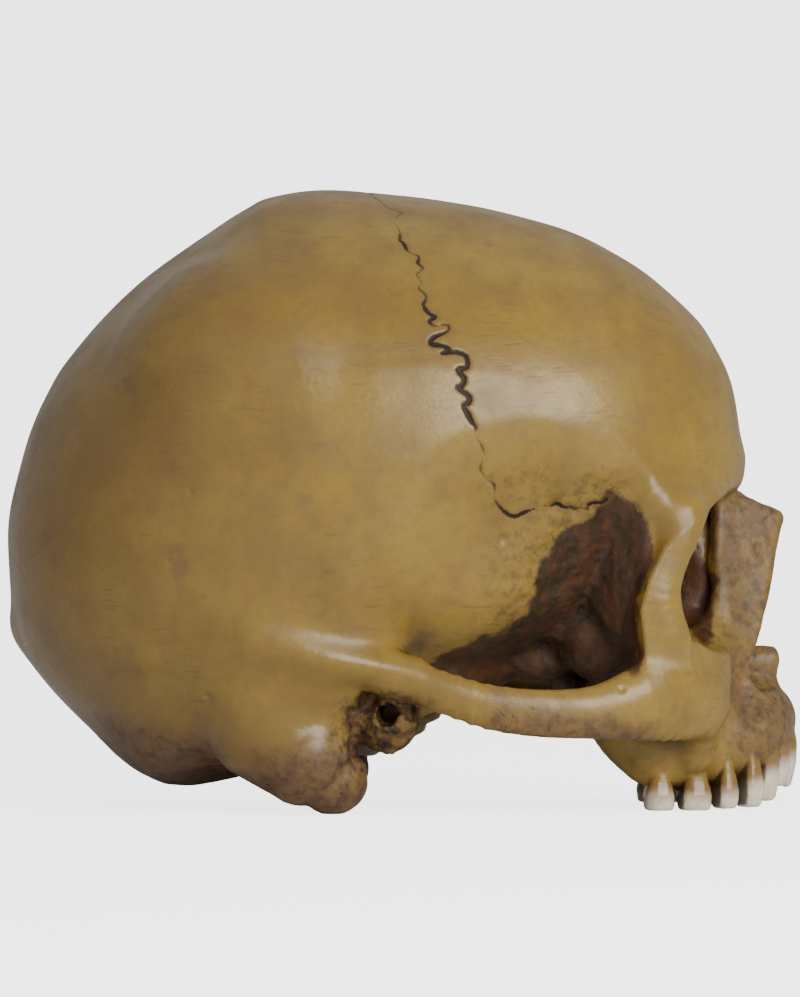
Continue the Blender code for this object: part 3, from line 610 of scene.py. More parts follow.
def suture_lines(p):
    """Distance to the nearest open suture, at most 9 mm, and its half width there."""
    arc = np.arctan2(np.abs(p[1]), p[2] - VAULT_CENTRE[1]) * UNROLL_RADIUS
    places = [
        (p[0], arc, p[2] > 60, smooth_path(CORONAL, 4)),
        (p[0], arc, (p[2] > 60) & (p[0] > 16), zigzag(SPHENOID, 0.3, 22)),
        (p[0], p[1], p[2] > 100, zigzag(SAGITTAL, 0.2, 24)),
    ]
    found = np.full(p.shape[1], 9.0, np.float32)
    width = np.full(p.shape[1], 0.3, np.float32)
    for u, v, mask, rows in places:
        low, high = rows[:, :2].min(0) - 4, rows[:, :2].max(0) + 4
        at = np.flatnonzero(mask & (u > low[0]) & (u < high[0]) & (v > low[1]) & (v < high[1]))
        for first in range(0, len(rows) - 1, 16):
            piece = rows[first : first + 17]
            low, high = piece[:, :2].min(0) - 2.5, piece[:, :2].max(0) + 2.5
            here = (u[at] > low[0]) & (u[at] < high[0]) & (v[at] > low[1]) & (v[at] < high[1])
            here = at[here]
            if len(here):
                near_found, near_width = found[here], width[here]
                line_distance(u[here], v[here], piece, near_found, near_width)
                found[here], width[here] = near_found, near_width
    return found, width


def roughness_of(p):
    """0 on the smooth braincase, up to 2 in the eroded hollows, the base and round the ear."""
    mirrored = folded(p)
    made = np.zeros(p.shape[1], np.float32)
    for centre, radii, strength in ROUGH_SPOTS:
        made = np.maximum(made, strength * np.sqrt(spot(mirrored, centre, radii)))
    return made


def relief(p, settings):
    """Millimetres by which the surface sinks at p: undulation, erosion, sutures and pits."""
    sink = settings.undulation * (0.7 * lattice_noise(p, 24, 1) + 0.3 * lattice_noise(p, 9, 2))
    rough = roughness_of(p) * settings.erosion
    at = np.flatnonzero(rough > 0.02)
    q = p[:, at]
    sink[at] += rough[at] * (0.55 * lattice_noise(q, 4.4, 3)
                             + 0.4 * np.abs(lattice_noise(q, 2.2, 4))
                             + 0.2 * lattice_noise(q, 1.3, 5))
    away, width = suture_lines(p)
    wide = np.maximum(width, 0.36)
    depth = settings.suture_depth * np.clip(width / 0.7, 0.15, 1)
    sink += depth * np.exp(-np.minimum(away / wide, 5) ** 2)
    sink -= 0.08 * depth * np.exp(-np.minimum(away / 1.6, 5) ** 2)
    mirrored = folded(p)
    for centre, radius, depth in PITS:
        off = ((mirrored - np.array(centre, np.float32)[:, None]) ** 2).sum(0)
        sink += depth * np.exp(-np.minimum(off / radius**2, 20))
    return sink


def dressed_field(p, settings):
    """The field of bone and teeth with uneven sides and its relief, cut off at the floor."""
    uneven = uneven_sides(p)
    bone = bone_field(uneven) + relief(p, settings)
    tooth_field = crowns(uneven) + 0.06 * lattice_noise(p, 1.6, 7)
    return np.maximum(smooth_min(bone, tooth_field, 0.7), -p[2])


def finer(field, axis):
    """A field with COARSE_STEPS times as many samples along an axis, by straight interpolation."""
    rows = np.moveaxis(field, axis, 0)
    made = np.empty(((len(rows) - 1) * COARSE_STEPS, *rows.shape[1:]), np.float32)
    for step in range(COARSE_STEPS):
        share = step / COARSE_STEPS
        made[step::COARSE_STEPS] = rows[:-1] * (1 - share) + rows[1:] * share
    return np.moveaxis(made, 0, axis)


def sampled_skull(settings):
    """The dressed field on a fine grid, exact near the surface and interpolated elsewhere, and the
    coarse grid that it began from."""
    voxel = settings.voxel
    axes = [np.arange(a, b, voxel * COARSE_STEPS, np.float32) for a, b in zip(GRID_LOW, GRID_HIGH)]
    grid = np.stack(np.meshgrid(*axes, indexing="ij"))
    p = folded(grid.reshape(3, -1))
    coarse = np.minimum(bone_field(p), crowns(p)).reshape(grid.shape[1:])
    fine = np.ascontiguousarray(finer(finer(finer(coarse, 0), 1), 2))
    flat = fine.reshape(-1)
    band = np.flatnonzero(np.abs(flat) < BAND)
    corner = np.array(GRID_LOW, np.float32)[:, None]
    for first in range(0, len(band), CHUNK):
        here = band[first : first + CHUNK]
        place = np.stack(np.unravel_index(here, fine.shape)).astype(np.float32)
        flat[here] = dressed_field(place * voxel + corner, settings)
    return fine, coarse


def grid_value(grid, voxel, p):
    """A grid's value at points, by straight interpolation between its samples."""
    place = (p - np.array(GRID_LOW, np.float32)[:, None]) / voxel
    size = np.array(grid.shape)[:, None]
    place = np.clip(place, 0, size - 1.001)
    low = place.astype(int)
    t = place - low
    made = np.zeros(p.shape[1], np.float32)
    for x in (0, 1):
        for y in (0, 1):
            for z in (0, 1):
                share = abs(1 - x - t[0]) * abs(1 - y - t[1]) * abs(1 - z - t[2])
                made += grid[low[0] + x, low[1] + y, low[2] + z] * share
    return made


def labels_of(count, edges):
    """A number for each vertex that is the same all over one connected surface."""
    label = np.arange(count)
    while True:
        a, b = label[edges[:, 0]], label[edges[:, 1]]
        lower = np.minimum(a, b)
        before = label.copy()
        np.minimum.at(label, a, lower)
        np.minimum.at(label, b, lower)
        label = label[label]
        if (label == before).all():
            return label


def largest_part(points, quads):
    """The vertices and quads of the connected surface that has the most vertices."""
    edges = np.concatenate([quads[:, [0, 1]], quads[:, [1, 2]], quads[:, [2, 3]]])
    label = labels_of(len(points), edges)
    keep = label == np.bincount(label).argmax()
    number = np.cumsum(keep) - 1
    return points[keep], number[quads[keep[quads[:, 0]]]]


def mesh_from(name, points, faces):
    """A mesh from arrays of points in metres and of faces that all have as many corners."""
    mesh = bpy.data.meshes.new(name)
    corners = faces.shape[1]
    mesh.vertices.add(len(points))
    mesh.vertices.foreach_set("co", np.ascontiguousarray(points, np.float32).ravel())
    mesh.loops.add(faces.size)
    mesh.loops.foreach_set("vertex_index", np.ascontiguousarray(faces, np.int32).ravel())
    mesh.polygons.add(len(faces))
    mesh.polygons.foreach_set("loop_start", np.arange(0, faces.size, corners, dtype=np.int32))
    mesh.update(calc_edges=True)
    return mesh


def shade(mesh, cuts):
    """Shades a bone smoothly by the slope of the field, so that it runs on over the joins between
    bones, and shades the faces on its cuts flat."""
    flat = on_cuts(mesh, cuts)
    mesh.polygons.foreach_set("use_smooth", ~flat)
    p = numbers(mesh.vertices, "co", 3).T / MM
    steps = np.eye(3, dtype=np.float32)[:, :, None] * Skull.voxel * 0.7
    slope = np.stack([grid_value(Skull.fine, Skull.voxel, p + step)
                      - grid_value(Skull.fine, Skull.voxel, p - step) for step in steps])
    slope /= np.maximum(np.sqrt((slope**2).sum(0)), 1e-6)
    corner = np.empty(len(mesh.loops), np.int32)
    mesh.loops.foreach_get("vertex_index", corner)
    size = np.empty(len(mesh.polygons), np.int32)
    mesh.polygons.foreach_get("loop_total", size)
    face = np.repeat(np.arange(len(size)), size)
    facing = numbers(mesh.polygons, "normal", 3)[face]
    normal = np.where(flat[face][:, None], facing, slope.T[corner])
    layer = mesh.attributes.new("custom_normal", "FLOAT_VECTOR", "CORNER")
    layer.data.foreach_set("vector", np.ascontiguousarray(normal, np.float32).ravel())
    return slope


def numbers(collection, attribute, width):
    """One attribute of a mesh's vertices or faces as an array of rows."""
    made = np.empty(len(collection) * width, np.float32)
    collection.foreach_get(attribute, made)
    return made.reshape(-1, width)


def prism(outline, inner, outer):
    """A closed cutter: an anticlockwise outline as (x, z) from Y inner to Y outer."""
    outline = np.asarray(outline, float)
    count = len(outline)
    rows = [(x * MM, y * MM, z * MM) for y in (inner, outer) for x, z in outline]
    faces = [tuple(range(count)), tuple(range(2 * count - 1, count - 1, -1))]
    faces += [(i, count + i, count + (i + 1) % count, (i + 1) % count) for i in range(count)]
    mesh = bpy.data.meshes.new("cutter")
    mesh.from_pydata(rows, [], faces)
    cutter = bpy.data.objects.new("cutter", mesh)
    bpy.context.scene.collection.objects.link(cutter)
    return cutter


def combined(mesh, cutter, operation):
    """The mesh after a Boolean with a cutter."""
    obj = bpy.data.objects.new("body", mesh)
    bpy.context.scene.collection.objects.link(obj)
    modifier = obj.modifiers.new("cut", "BOOLEAN")
    modifier.solver = "MANIFOLD"
    modifier.operation = operation
    modifier.object = cutter
    graph = bpy.context.evaluated_depsgraph_get()
    made = bpy.data.meshes.new_from_object(obj.evaluated_get(graph))
    bpy.data.objects.remove(obj)
    return made


class Skull:
    """The sampled skull, shared by the operators that cut bones from it."""

    rest = None
    fine = None
    coarse = None
    voxel = 0.0
    cuts = []


def recess_shade_of(p, normal):
    """How enclosed a place is, 0 to 1: the share of the free distance outwards that is missing at
    2, 4, 8 and 15 mm from the surface. The material paints it as shade in the recesses and between
    the teeth, partly standing for the brown wash in the bone's hollows."""
    total = np.zeros(p.shape[1], np.float32)
    for reach, weight in ((2, 0.2), (4, 0.25), (8, 0.3), (15, 0.25)):
        free = grid_value(Skull.coarse, Skull.voxel * COARSE_STEPS, p + normal * reach)
        total += weight * np.clip(1 - free / reach, 0, 1.5)
    return total


def stained(p, places):
    """Millimetres inside the deepest of some stained places, negative outside them all."""
    found = np.full(p.shape[1], -12.0, np.float32)
    for outline, inner, outer in places:
        across = np.minimum(p[1] - inner, outer - p[1])
        found = np.maximum(found, np.minimum(-outline_distance(p[0], p[2], outline), across))
    return found


def paint(mesh, normal):
    """Writes the attributes that the materials read onto a bone's vertices."""
    p = numbers(mesh.vertices, "co", 3).T / MM
    q, mirrored = uneven_sides(p), folded(p)
    away, width = suture_lines(p)
    values = {
        "suture_away": away,
        "suture_width": width,
        "tooth": np.clip(bone_field(q) - crowns(q), -6, 6),
        "neck": np.clip(p[2] - neck_height(q), -20, 20),
        # How enclosed each vertex is, which the material paints as shade in recesses.
        "recess_shade": recess_shade_of(p, normal),
        "rough": roughness_of(p),
    }
    for name, places in STAINS_AND_SHADE.items():
        values[name] = stained(mirrored, places)
    for name, value in values.items():
        layer = mesh.attributes.new(name, "FLOAT", "POINT")
        layer.data.foreach_set("value", np.ascontiguousarray(value, np.float32))


def neck_height(p):
    """The height of the nearest tooth's neck."""
    found = np.full(p.shape[1], 1e3, np.float32)
    height = np.full(p.shape[1], 10.0, np.float32)
    for x, y, _, _, neck, _, _ in TEETH:
        away = np.hypot(p[0] - x, p[1] - y)
        closer = away < found
        found[closer], height[closer] = away[closer], neck
    return height


def on_cuts(mesh, cuts):
    """Which faces lie on the sides of cutters, each an outline as (x, z) and its reach in Y."""
    centre = numbers(mesh.polygons, "center", 3) / MM
    normal = numbers(mesh.polygons, "normal", 3)
    made = np.zeros(len(centre), bool)
    for outline, inner, outer in cuts:
        level = np.abs(centre[:, [1]] - [inner, outer]).min(1) < CUT_TOLERANCE
        made |= level & (np.abs(normal[:, 1]) > 0.9995)
        outline = np.array(outline, float)
        for a, b in zip(outline, np.roll(outline, -1, 0)):
            along = (b - a) / np.linalg.norm(b - a)
            off = (centre[:, 0] - a[0]) * along[1] - (centre[:, 2] - a[1]) * along[0]
            here = np.flatnonzero(np.abs(off) < CUT_TOLERANCE)
            facing = normal[here, 0] * along[1] - normal[here, 2] * along[0]
            made[here] |= np.abs(facing) > 0.9995
    return made


def finish_bone(name, mesh, cuts):
    """Makes a bone's object from its mesh, with its attributes, shading and material."""
    mesh.validate()
    mesh.name = name
    paint(mesh, shade(mesh, cuts))
    mesh.materials.clear()
    mesh.materials.append(bone_material())
    bone = bpy.data.objects.new(name + "_bone", mesh)
    bpy.context.scene.collection.objects.link(bone)
    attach(bone, "root")
    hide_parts(name)
    return bone


def part_off(name, outline, inner, outer):
    """Parts one bone from the rest of the skull along a prism."""
    cutter = prism(outline, inner, outer)
    mesh = combined(Skull.rest.copy(), cutter, "INTERSECT")
    Skull.rest = combined(Skull.rest, cutter, "DIFFERENCE")
    bpy.data.objects.remove(cutter)
    if not len(mesh.polygons):
        raise RuntimeError(f"nothing was left of {name}")
    Skull.cuts.append((outline, inner, outer))
    return finish_bone(name, mesh, Skull.cuts)


class Graph:
    """A short way to add and join the shader nodes of one material."""

    def __init__(self, tree):
        self.tree = tree

    def node(self, kind, settings=(), **inputs):
        """Any node, with its settings and with the values or links of its inputs."""
        made = self.tree.nodes.new(kind)
        for name, value in dict(settings).items():
            setattr(made, name, value)
        for name, value in inputs.items():
            self.put(made.inputs[name.replace("_", " ")], value)
        return made

    def put(self, socket, value):
        """Links a socket to another one, or sets its number."""
        if isinstance(value, bpy.types.NodeSocket):
            self.tree.links.new(value, socket)
        else:
            socket.default_value = value

    def math(self, operation, a, b=0.0, c=0.0, clamp=False):
        """One step of arithmetic."""
        made = self.tree.nodes.new("ShaderNodeMath")
        made.operation, made.use_clamp = operation, clamp
        for socket, value in zip(made.inputs, (a, b, c)):
            self.put(socket, value)
        return made.outputs[0]

    def times(self, a, b):
        """a * b"""
        return self.math("MULTIPLY", a, b)

    def scaled(self, a, b, c):
        """a * b + c"""
        return self.math("MULTIPLY_ADD", a, b, c)

    def ramp(self, value, low, high):
        """A smooth step from 0 where the value is low to 1 where it is high."""
        made = self.tree.nodes.new("ShaderNodeMapRange")
        made.interpolation_type = "SMOOTHSTEP"
        for socket, number in zip(made.inputs[:3], (value, low, high)):
            self.put(socket, number)
        return made.outputs[0]

    def mix(self, share, a, b):
        """Colour a where the share is 0, colour b where it is 1."""
        made = self.tree.nodes.new("ShaderNodeMix")
        made.data_type, made.clamp_factor = "RGBA", True
        self.put(made.inputs[0], share)
        for socket, value in zip((made.inputs[6], made.inputs[7]), (a, b)):
            self.put(socket, value if isinstance(value, bpy.types.NodeSocket) else (*value, 1))
        return made.outputs[2]

    def wash(self, color, over, *shares):
        """A colour with another one laid over it as thickly as the product of the shares."""
        thickness = shares[0]
        for share in shares[1:]:
            thickness = self.times(thickness, share)
        return self.mix(thickness, color, over)

    def moved(self, place, shift=(0, 0, 0), scale=(1, 1, 1), turn=(0, 0, 0)):
        """A place shifted, scaled and turned by degrees."""
        made = self.node("ShaderNodeMapping", Vector=place, Location=shift, Scale=scale)
        made.inputs["Rotation"].default_value = [math.radians(angle) for angle in turn]
        return made.outputs[0]

    def noise(self, place, size, detail=3.0, roughness=0.55, **move):
        """Noise of a size in millimetres, round 0.5."""
        if move:
            place = self.moved(place, **move)
        return self.node("ShaderNodeTexNoise", Vector=place, Scale=1 / (size * MM), Detail=detail,
                         Roughness=roughness).outputs[0]

    def mottle(self, place, size, low, high, *detail, **move):
        """Noise of a size in millimetres, stretched to 0 at low and 1 at high."""
        return self.ramp(self.noise(place, size, *detail, **move), low, high)

    def attribute(self, name):
        """A value that the bones carry."""
        return self.node("ShaderNodeAttribute", {"attribute_name": name}).outputs["Fac"]


def bone_color(g, place, settings):
    """The waxed bone's colour: ochre in three sizes of mottling, browner to the rear and below. It
    gives the patches and specks of the mottling too."""
    split = g.node("ShaderNodeSeparateXYZ", Vector=place)
    x, z = split.outputs[0], split.outputs[2]
    broad = g.mottle(place, 46, 0.36, 0.64, 2)
    patches = g.mottle(place, 13, 0.38, 0.66, 4, 0.6, shift=(0.3, 0.1, 0))
    specks = g.mottle(place, 2.6, 0.42, 0.7, 5, 0.65, shift=(0.1, 0.4, 0))
    rear = g.ramp(g.scaled(broad, 0.03, x), 0.02, -0.075)
    low = g.ramp(g.scaled(patches, 0.02, z), 0.05, 0.012)
    low_rear = g.times(low, g.ramp(x, 0.03, -0.03))
    color = g.mix(broad, settings.ochre, settings.honey)
    for share, strength in ((patches, 0.4), (specks, 0.25), (rear, 0.6), (low_rear, 0.2)):
        color = g.wash(color, settings.brown, share, strength)
    return color, patches, specks


def stains_and_painted_shade(g, place, color, patches, specks, settings):
    """Paints shade into the hollows, and washes the aged places, the fossa behind the orbit and the
    ear over a colour; the fossa's wash is partly painted shade of that recess. It gives the reach
    of the fossa and of the aged places too."""
    # Painted shade: brown, then dark, where the place is enclosed, partly standing for the brown
    # wash in the hollows.
    recess_shade = g.math("ADD", g.attribute("recess_shade"), g.scaled(patches, 0.2, -0.1))
    color = g.wash(color, settings.brown, g.ramp(recess_shade, 0.32, 0.8), 0.5)
    color = g.wash(color, settings.dark, g.ramp(recess_shade, 0.5, 1.05), 0.85)

    edge = g.scaled(g.noise(place, 5, 4, 0.6), 5.0, -2.5)
    aged = g.ramp(g.scaled(edge, 1.6, g.attribute("aged")), -2.5, 3.5)
    smudge = g.mottle(place, 6.5, 0.34, 0.6, 5, 0.62, shift=(0.5, 0.6, 0.2))
    color = g.wash(color, settings.mauve, aged, g.scaled(smudge, 0.36, 0.34))
    color = g.wash(color, settings.red_brown, aged, specks, 0.5)

    # The fossa's red-brown streaked wash, partly painted shade of the recess behind the orbit and
    # inside it.
    fossa = g.ramp(g.math("ADD", g.attribute("fossa"), edge), -0.4, 1.2)
    streaks = g.mottle(place, 5, 0.44, 0.6, 5, 0.6, scale=(1, 1, 0.35))
    worn = g.mottle(place, 3.2, 0.56, 0.72, 6, 0.68, shift=(0.4, 0.1, 0.8), scale=(1, 1, 0.5))
    red = g.mix(streaks, settings.red_brown, settings.dark)
    color = g.wash(color, g.wash(red, settings.mauve, worn, 0.3), fossa, 0.9)

    ear = g.ramp(g.math("ADD", g.attribute("ear"), edge), -1.2, 2.2)
    color = g.wash(color, settings.red_brown, ear, g.scaled(specks, 0.4, 0.45))
    color = g.wash(color, settings.dark, g.attribute("rough"), specks, 0.55)
    return color, fossa, aged


def wear(g, place, color, specks, fossa, aged, settings):
    """Adds faint smudges, fine scratches and, in the aged places, cracks to a colour. It gives the
    scratches and the cracks too."""
    smudge = g.mottle(place, 11, 0.62, 0.72, 3, shift=(0.7, 0.2, 0.4))
    color = g.wash(color, settings.mauve, smudge, 0.3)
    scratch = g.mottle(place, 0.9, 0.6, 0.7, 2, scale=(0.12, 0.12, 1), turn=(0, 6, 0))
    scratch = g.times(scratch, g.mottle(place, 30, 0.42, 0.6, 2, shift=(0.9, 0, 0.3)))
    scratch = g.times(scratch, g.math("SUBTRACT", 1, g.math("MAXIMUM", fossa, aged)))
    color = g.wash(color, settings.brown, scratch, 0.45)

    wander = g.node("ShaderNodeTexNoise", Vector=place, Scale=1 / (7 * MM), Detail=2.0)
    wavy = g.node("ShaderNodeVectorMath", {"operation": "ADD"})
    g.put(wavy.inputs[0], place)
    g.put(wavy.inputs[1], g.moved(wander.outputs["Color"], scale=(0.006, 0.006, 0.006)))
    cells = g.node("ShaderNodeTexVoronoi", {"feature": "DISTANCE_TO_EDGE"},
                   Vector=wavy.outputs[0], Scale=1 / (9 * MM))
    few = g.mottle(place, 16, 0.5, 0.6, 2, shift=(0.2, 0.8, 0.5))
    crack = g.times(g.ramp(cells.outputs["Distance"], 0.035, 0.008), aged)
    crack = g.times(crack, g.times(few, specks))
    return g.wash(color, settings.dark, crack, 0.7), scratch, crack


def open_sutures(g, place, color, settings):
    """Draws the open sutures over a colour as a dark line in a brown halo, and gives the line."""
    jitter = g.scaled(g.noise(place, 1.1, 4, 0.65), 0.8, -0.4)
    away, width = g.math("ADD", g.attribute("suture_away"), jitter), g.attribute("suture_width")
    strong = g.ramp(width, 0.15, 0.5)
    color = g.wash(color, settings.brown, g.ramp(away, 2.6, 0.2), g.times(strong, 0.35))
    line = g.ramp(away, g.times(width, 1.4), g.times(width, 0.75))
    line = g.times(line, g.scaled(strong, 0.6, 0.38))
    return g.mix(line, color, settings.dark), line


def teeth(g, color, patches, specks, settings):
    """Lays the teeth's ivory, with its stained necks and painted shade in the gaps between them,
    over a colour, and gives the teeth's reach."""
    tooth = g.math("ADD", g.attribute("tooth"), g.scaled(specks, 0.3, -0.1))
    tooth = g.times(g.ramp(tooth, -0.05, 0.25), g.ramp(g.attribute("neck"), 0.9, -0.5))
    neck = g.ramp(g.scaled(patches, 1.5, g.attribute("neck")), -5.4, -0.4)
    ivory = g.mix(neck, settings.ivory, settings.neck)
    ivory = g.wash(ivory, settings.neck, specks, 0.26)
    # Painted shade in the gaps between the teeth.
    ivory = g.wash(ivory, settings.dark, g.ramp(g.attribute("recess_shade"), 0.46, 0.76), 0.8)
    return g.mix(tooth, color, ivory), tooth


def bone_material():
    """The one material of all the bones: it reads Object coordinates and the bones' attributes."""
    made = bpy.data.materials.get("waxed_bone")
    if made:
        return made
    settings = bpy.context.scene.cranium
    made = bpy.data.materials.new("waxed_bone")
    made.use_nodes = True
    g = Graph(made.node_tree)
    shader = made.node_tree.nodes["Principled BSDF"]
    place = g.node("ShaderNodeTexCoord").outputs["Object"]
    color, patches, specks = bone_color(g, place, settings)
    color, fossa, aged = stains_and_painted_shade(g, place, color, patches, specks, settings)
    color, scratch, crack = wear(g, place, color, specks, fossa, aged, settings)
    color, line = open_sutures(g, place, color, settings)
    color, tooth = teeth(g, color, patches, specks, settings)
    g.put(shader.inputs["Base Color"], color)

    eroded = g.attribute("rough")
    rough = g.scaled(patches, 0.12, settings.roughness)
    for share, strength in ((eroded, 0.2), (fossa, 0.16), (aged, 0.14), (line, 0.45)):
        rough = g.scaled(share, strength, rough)
    rough = g.math("SUBTRACT", rough, g.times(tooth, 0.16), clamp=True)
    g.put(shader.inputs["Roughness"], rough)
    shader.inputs["Coat Weight"].default_value = 0.08
    shader.inputs["Coat Roughness"].default_value = 0.22

    grain = g.noise(place, 1.1, 4, 0.6, shift=(0.2, 0.3, 0.1))
    crumble = g.times(g.noise(place, 1.6, 5, 0.65), 0.9)
    fibres = g.noise(place, 3.4, 6, 0.68, shift=(0.6, 0.2, 0), scale=(1, 1, 0.5))
    fibrous = g.math("MAXIMUM", fossa, g.times(aged, 0.35))
    height = g.times(g.noise(place, 5.5, 4, 0.6), 0.35)
    for form, strength in ((grain, 0.14), (scratch, -0.05), (crumble, eroded), (line, -0.1),
                           (crack, -0.5), (fibres, fibrous)):
        height = g.scaled(form, strength, height)
    bump = g.node("ShaderNodeBump", Strength=0.55, Distance=0.6 * MM, Height=height)
    g.put(shader.inputs["Normal"], bump.outputs[0])
    return made


class CraniumSettings(bpy.types.PropertyGroup):
    """Sizes and colours of the cranium that a user may change."""

    voxel: FloatProperty(name="Sample spacing", default=0.6, min=0.4, max=3,
                         description="Distance between samples of the bone's field, in millimetres")
    undulation: FloatProperty(name="Undulation", default=0.35, min=0, max=1,
                              description="Depth of the surface's gentle waves, in millimetres")
    erosion: FloatProperty(name="Erosion", default=0.8, min=0, max=2,
                           description="Strength of the eroded texture in the hollows and below")
    suture_depth: FloatProperty(name="Suture depth", default=0.6, min=0, max=2,
                                description="Depth of the open sutures, in millimetres")
    roughness: FloatProperty(name="Roughness", default=0.26, min=0, max=1, subtype="FACTOR",
                             description="Roughness of the waxed surface")
    ochre: FloatVectorProperty(name="Ochre", subtype="COLOR", default=(0.295, 0.186, 0.03),
                               description="Main colour of the bone")
    honey: FloatVectorProperty(name="Honey", subtype="COLOR", default=(0.345, 0.222, 0.039),
                               description="Lighter patches of the bone")
    # Brown also paints the lighter shade in recesses.
    brown: FloatVectorProperty(name="Brown", subtype="COLOR", default=(0.17, 0.095, 0.034),
                               description="Browner patches, and the rear")
    # Red brown also paints the fossa, partly as shade of that recess.
    red_brown: FloatVectorProperty(name="Red brown", subtype="COLOR",
                                   default=(0.062, 0.0155, 0.0095),
                                   description="The wash in the fossa and round the ear")
    # Dark also paints the shade in the deepest recesses and between the teeth.
    dark: FloatVectorProperty(name="Dark", subtype="COLOR", default=(0.014, 0.0055, 0.004),
                              description="Sutures and the deepest hollows")
    mauve: FloatVectorProperty(name="Mauve", subtype="COLOR", default=(0.135, 0.074, 0.05),
                               description="Faint smudges")
    ivory: FloatVectorProperty(name="Ivory", subtype="COLOR", default=(0.9, 0.82, 0.68),
                               description="Crowns of the teeth")
    neck: FloatVectorProperty(name="Tooth neck", subtype="COLOR", default=(0.27, 0.15, 0.05),
                              description="Necks and roots of the teeth")
    key_light: FloatProperty(name="Key light", default=14, min=0,
                             description="Power of the key light, in watts")
    fill_light: FloatProperty(name="Fill light", default=1.9, min=0,
                              description="Power of the fill light, in watts")


class CRANIUM_OT_body(bpy.types.Operator):
    """Sample the bone's field and mesh the undivided cranium"""

    bl_idname = "cranium.body"
    bl_label = "Undivided cranium"

    def execute(self, context):
        settings = context.scene.cranium
        fine, coarse = sampled_skull(settings)
        grid = openvdb.FloatGrid(10.0)
        grid.copyFromArray(fine)
        points, quads = grid.convertToQuads(isovalue=0.0)
        points, quads = largest_part(points, quads)
        if not len(points):
            raise RuntimeError("the bone's field has no surface")
        points = points * settings.voxel + np.array(GRID_LOW)
        triangles = np.concatenate([quads[:, [0, 1, 2]], quads[:, [0, 2, 3]]])
        Skull.rest = mesh_from("undivided", points * MM, triangles)
        Skull.fine, Skull.coarse = fine, coarse
        Skull.voxel, Skull.cuts = settings.voxel, []
        print("undivided cranium:", len(points), "vertices,", len(triangles), "triangles")
        return {"FINISHED"}


class CRANIUM_OT_face(bpy.types.Operator):
    """Part off the vomer, nasal bones, cheekbones and both halves of the upper jaw"""

    bl_idname = "cranium.face"
    bl_label = "Face bones"

    def execute(self, context):
        part_off("vomer", SUTURES["vomer"], -VOMER_HALF_WIDTH, VOMER_HALF_WIDTH)
        part_off("nasal_bones", SUTURES["nasal_bones"], -NASAL_HALF_WIDTH, NASAL_HALF_WIDTH)
        part_off("zygomatic_right", SUTURES["zygomatic"], -WIDE, -CHEEK_START)
        part_off("zygomatic_left", SUTURES["zygomatic"], CHEEK_START, WIDE)
        part_off("maxilla_right", SUTURES["maxilla"], -WIDE, 0)
        part_off("maxilla_left", SUTURES["maxilla"], 0, WIDE)
        return {"FINISHED"}


class CRANIUM_OT_vault(bpy.types.Operator):
    """Part off the frontal bone and both parietal bones"""

    bl_idname = "cranium.vault"
    bl_label = "Roof bones"

    def execute(self, context):
        part_off("frontal_bone", SUTURES["frontal"], -WIDE, WIDE)
        part_off("parietal_right", SUTURES["parietal"], -WIDE, 0)
        part_off("parietal_left", SUTURES["parietal"], 0, WIDE)
        return {"FINISHED"}


class CRANIUM_OT_base(bpy.types.Operator):
    """Part off the temporal bones and the occipital bone; what is left is the sphenoid"""

    bl_idname = "cranium.base"
    bl_label = "Base bones"

    def execute(self, context):
        part_off("temporal_right", SUTURES["temporal"], -WIDE, -TEMPORAL_START)
        part_off("temporal_left", SUTURES["temporal"], TEMPORAL_START, WIDE)
        part_off("occipital_bone", SUTURES["occipital"], -WIDE, WIDE)
        finish_bone("sphenoid_bone", Skull.rest, Skull.cuts)
        return {"FINISHED"}


def pale_floor():
    """A plain matt floor with a trace of mottling, near white where the camera sees it."""
    made = bpy.data.materials.new("pale_floor")
    made.use_nodes = True
    g = Graph(made.node_tree)
    shader = made.node_tree.nodes["Principled BSDF"]
    place = g.node("ShaderNodeTexCoord").outputs["Object"]
    color = g.mix(g.noise(place, 60), (0.86, 0.86, 0.86), (0.83, 0.83, 0.83))
    g.put(shader.inputs["Base Color"], color)
    shader.inputs["Roughness"].default_value = 0.7
    shader.inputs["Emission Color"].default_value = (1, 1, 1, 1)
    seen = g.node("ShaderNodeLightPath").outputs["Is Camera Ray"]
    g.put(shader.inputs["Emission Strength"], g.times(seen, 3))
    return made


def soft_light(name, direction, distance, width, height, power, color=(1, 1, 1)):
    """A softbox that looks at the skull's middle from a direction; sizes in metres."""
    data = bpy.data.lights.new(name, "AREA")
    data.shape, data.size, data.size_y = "RECTANGLE", width, height
    data.energy, data.color = power, color
    light = bpy.data.objects.new(name, data)
    aim = Vector(LIGHT_AIM)
    light.location = aim + Vector(direction).normalized() * distance
    light.rotation_euler = (aim - light.location).to_track_quat("-Z", "Y").to_euler()
    bpy.context.scene.collection.objects.link(light)
    return light


def studio_world():
    """An even pale surround: soft light on the skull, and near white where the camera sees it."""
    world = bpy.data.worlds.new("studio")
    world.use_nodes = True
    g = Graph(world.node_tree)
    backdrop = world.node_tree.nodes["Background"]
    backdrop.inputs[0].default_value = (0.95, 0.97, 1, 1)
    seen = g.node("ShaderNodeLightPath").outputs["Is Camera Ray"]
    g.put(backdrop.inputs[1], g.scaled(seen, 4.5, 0.4))
    return world


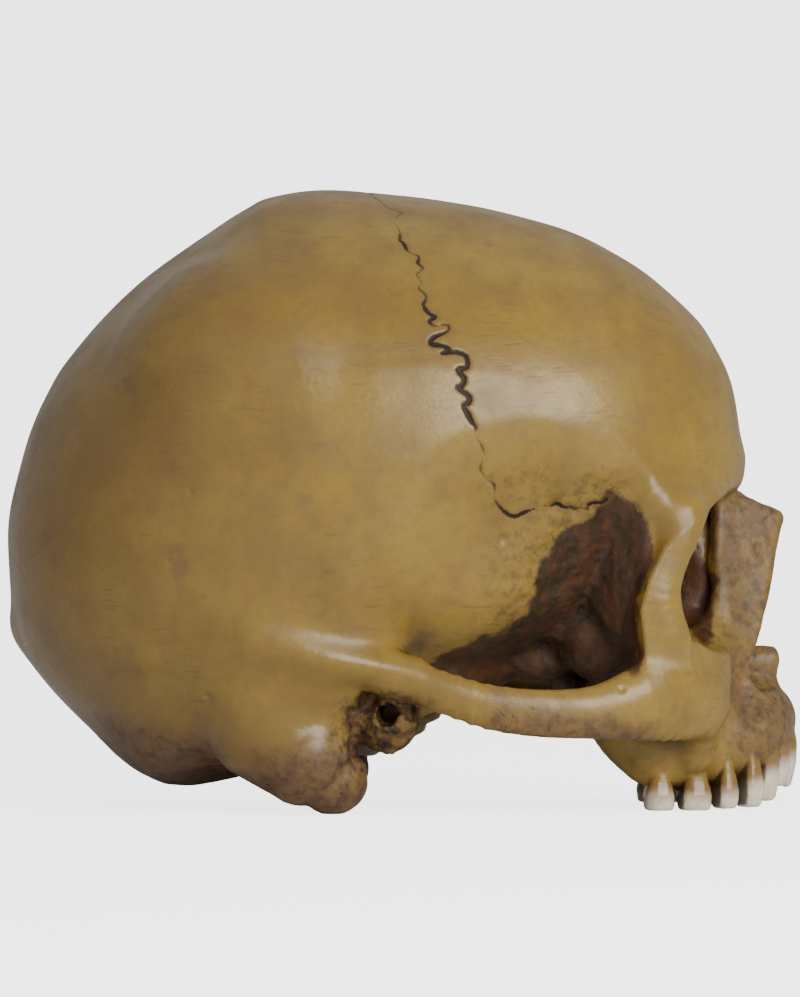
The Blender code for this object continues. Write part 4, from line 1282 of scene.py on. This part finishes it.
def studio_floor():
    """The floor, a grid of squares that rises far from the skull, so that no horizon shows."""
    side = FLOOR_SQUARES + 1
    across = np.linspace(-FLOOR_REACH, FLOOR_REACH, side)
    x, y = (grid.ravel() for grid in np.meshgrid(across, across, indexing="ij"))
    rise = np.clip((np.hypot(x, y) - RISE_START) / (FLOOR_REACH - RISE_START), 0, 1)
    points = np.stack([x, y, RISE_HEIGHT * rise**2], 1)
    corner = (np.arange(FLOOR_SQUARES)[:, None] * side + np.arange(FLOOR_SQUARES)).ravel()
    squares = np.stack([corner, corner + side, corner + side + 1, corner + 1], 1)
    mesh = mesh_from("floor", points, squares)
    mesh.polygons.foreach_set("use_smooth", np.ones(len(mesh.polygons), bool))
    mesh.materials.append(pale_floor())
    floor = bpy.data.objects.new("floor", mesh)
    bpy.context.scene.collection.objects.link(floor)
    return floor


class CRANIUM_OT_stage(bpy.types.Operator):
    """Add a pale floor, soft studio light and the camera at the photo's place"""

    bl_idname = "cranium.stage"
    bl_label = "Stage"

    def execute(self, context):
        settings = context.scene.cranium
        floor = studio_floor()

        soft_light("key", (0.5, -0.8, 0.38), 1.3, 0.95, 0.5, settings.key_light, (1, 0.95, 0.84))
        soft_light("fill", (-0.5, -1, 0.35), 1.6, 1.6, 1.6, settings.fill_light)
        soft_light("top", (0.1, 0.2, 1), 1.5, 1.4, 1.4, settings.fill_light * 0.5)

        context.scene.world = studio_world()

        camera = bpy.data.objects.new("camera", bpy.data.cameras.new("camera"))
        camera.location = CAMERA_PLACE
        camera.rotation_euler = (math.pi / 2, 0, 0)
        camera.data.lens = CAMERA_LENS
        camera.data.clip_end = 50
        context.scene.collection.objects.link(camera)
        context.scene.camera = camera
        return {"FINISHED"}


class CRANIUM_PT_panel(bpy.types.Panel):
    """Settings and steps of the cranium"""

    bl_idname = "CRANIUM_PT_panel"
    bl_label = "Human cranium"
    bl_space_type = "VIEW_3D"
    bl_region_type = "UI"
    bl_category = "Cranium"

    def draw(self, context):
        for name in CraniumSettings.__annotations__:
            self.layout.prop(context.scene.cranium, name)
        for step in STEPS:
            self.layout.operator(step.bl_idname)


STEPS = (CRANIUM_OT_body, CRANIUM_OT_face, CRANIUM_OT_vault, CRANIUM_OT_base, CRANIUM_OT_stage)


def register():
    for item in (CraniumSettings, *STEPS, CRANIUM_PT_panel):
        bpy.utils.register_class(item)
    bpy.types.Scene.cranium = PointerProperty(type=CraniumSettings)


def unregister():
    del bpy.types.Scene.cranium
    for item in (CRANIUM_PT_panel, *reversed(STEPS), CraniumSettings):
        bpy.utils.unregister_class(item)


def main():
    """Builds everything in order."""
    register()
    bpy.ops.cranium.body()
    bpy.ops.cranium.face()
    bpy.ops.cranium.vault()
    bpy.ops.cranium.base()
    bpy.ops.cranium.stage()


if __name__ == "__main__":
    main()
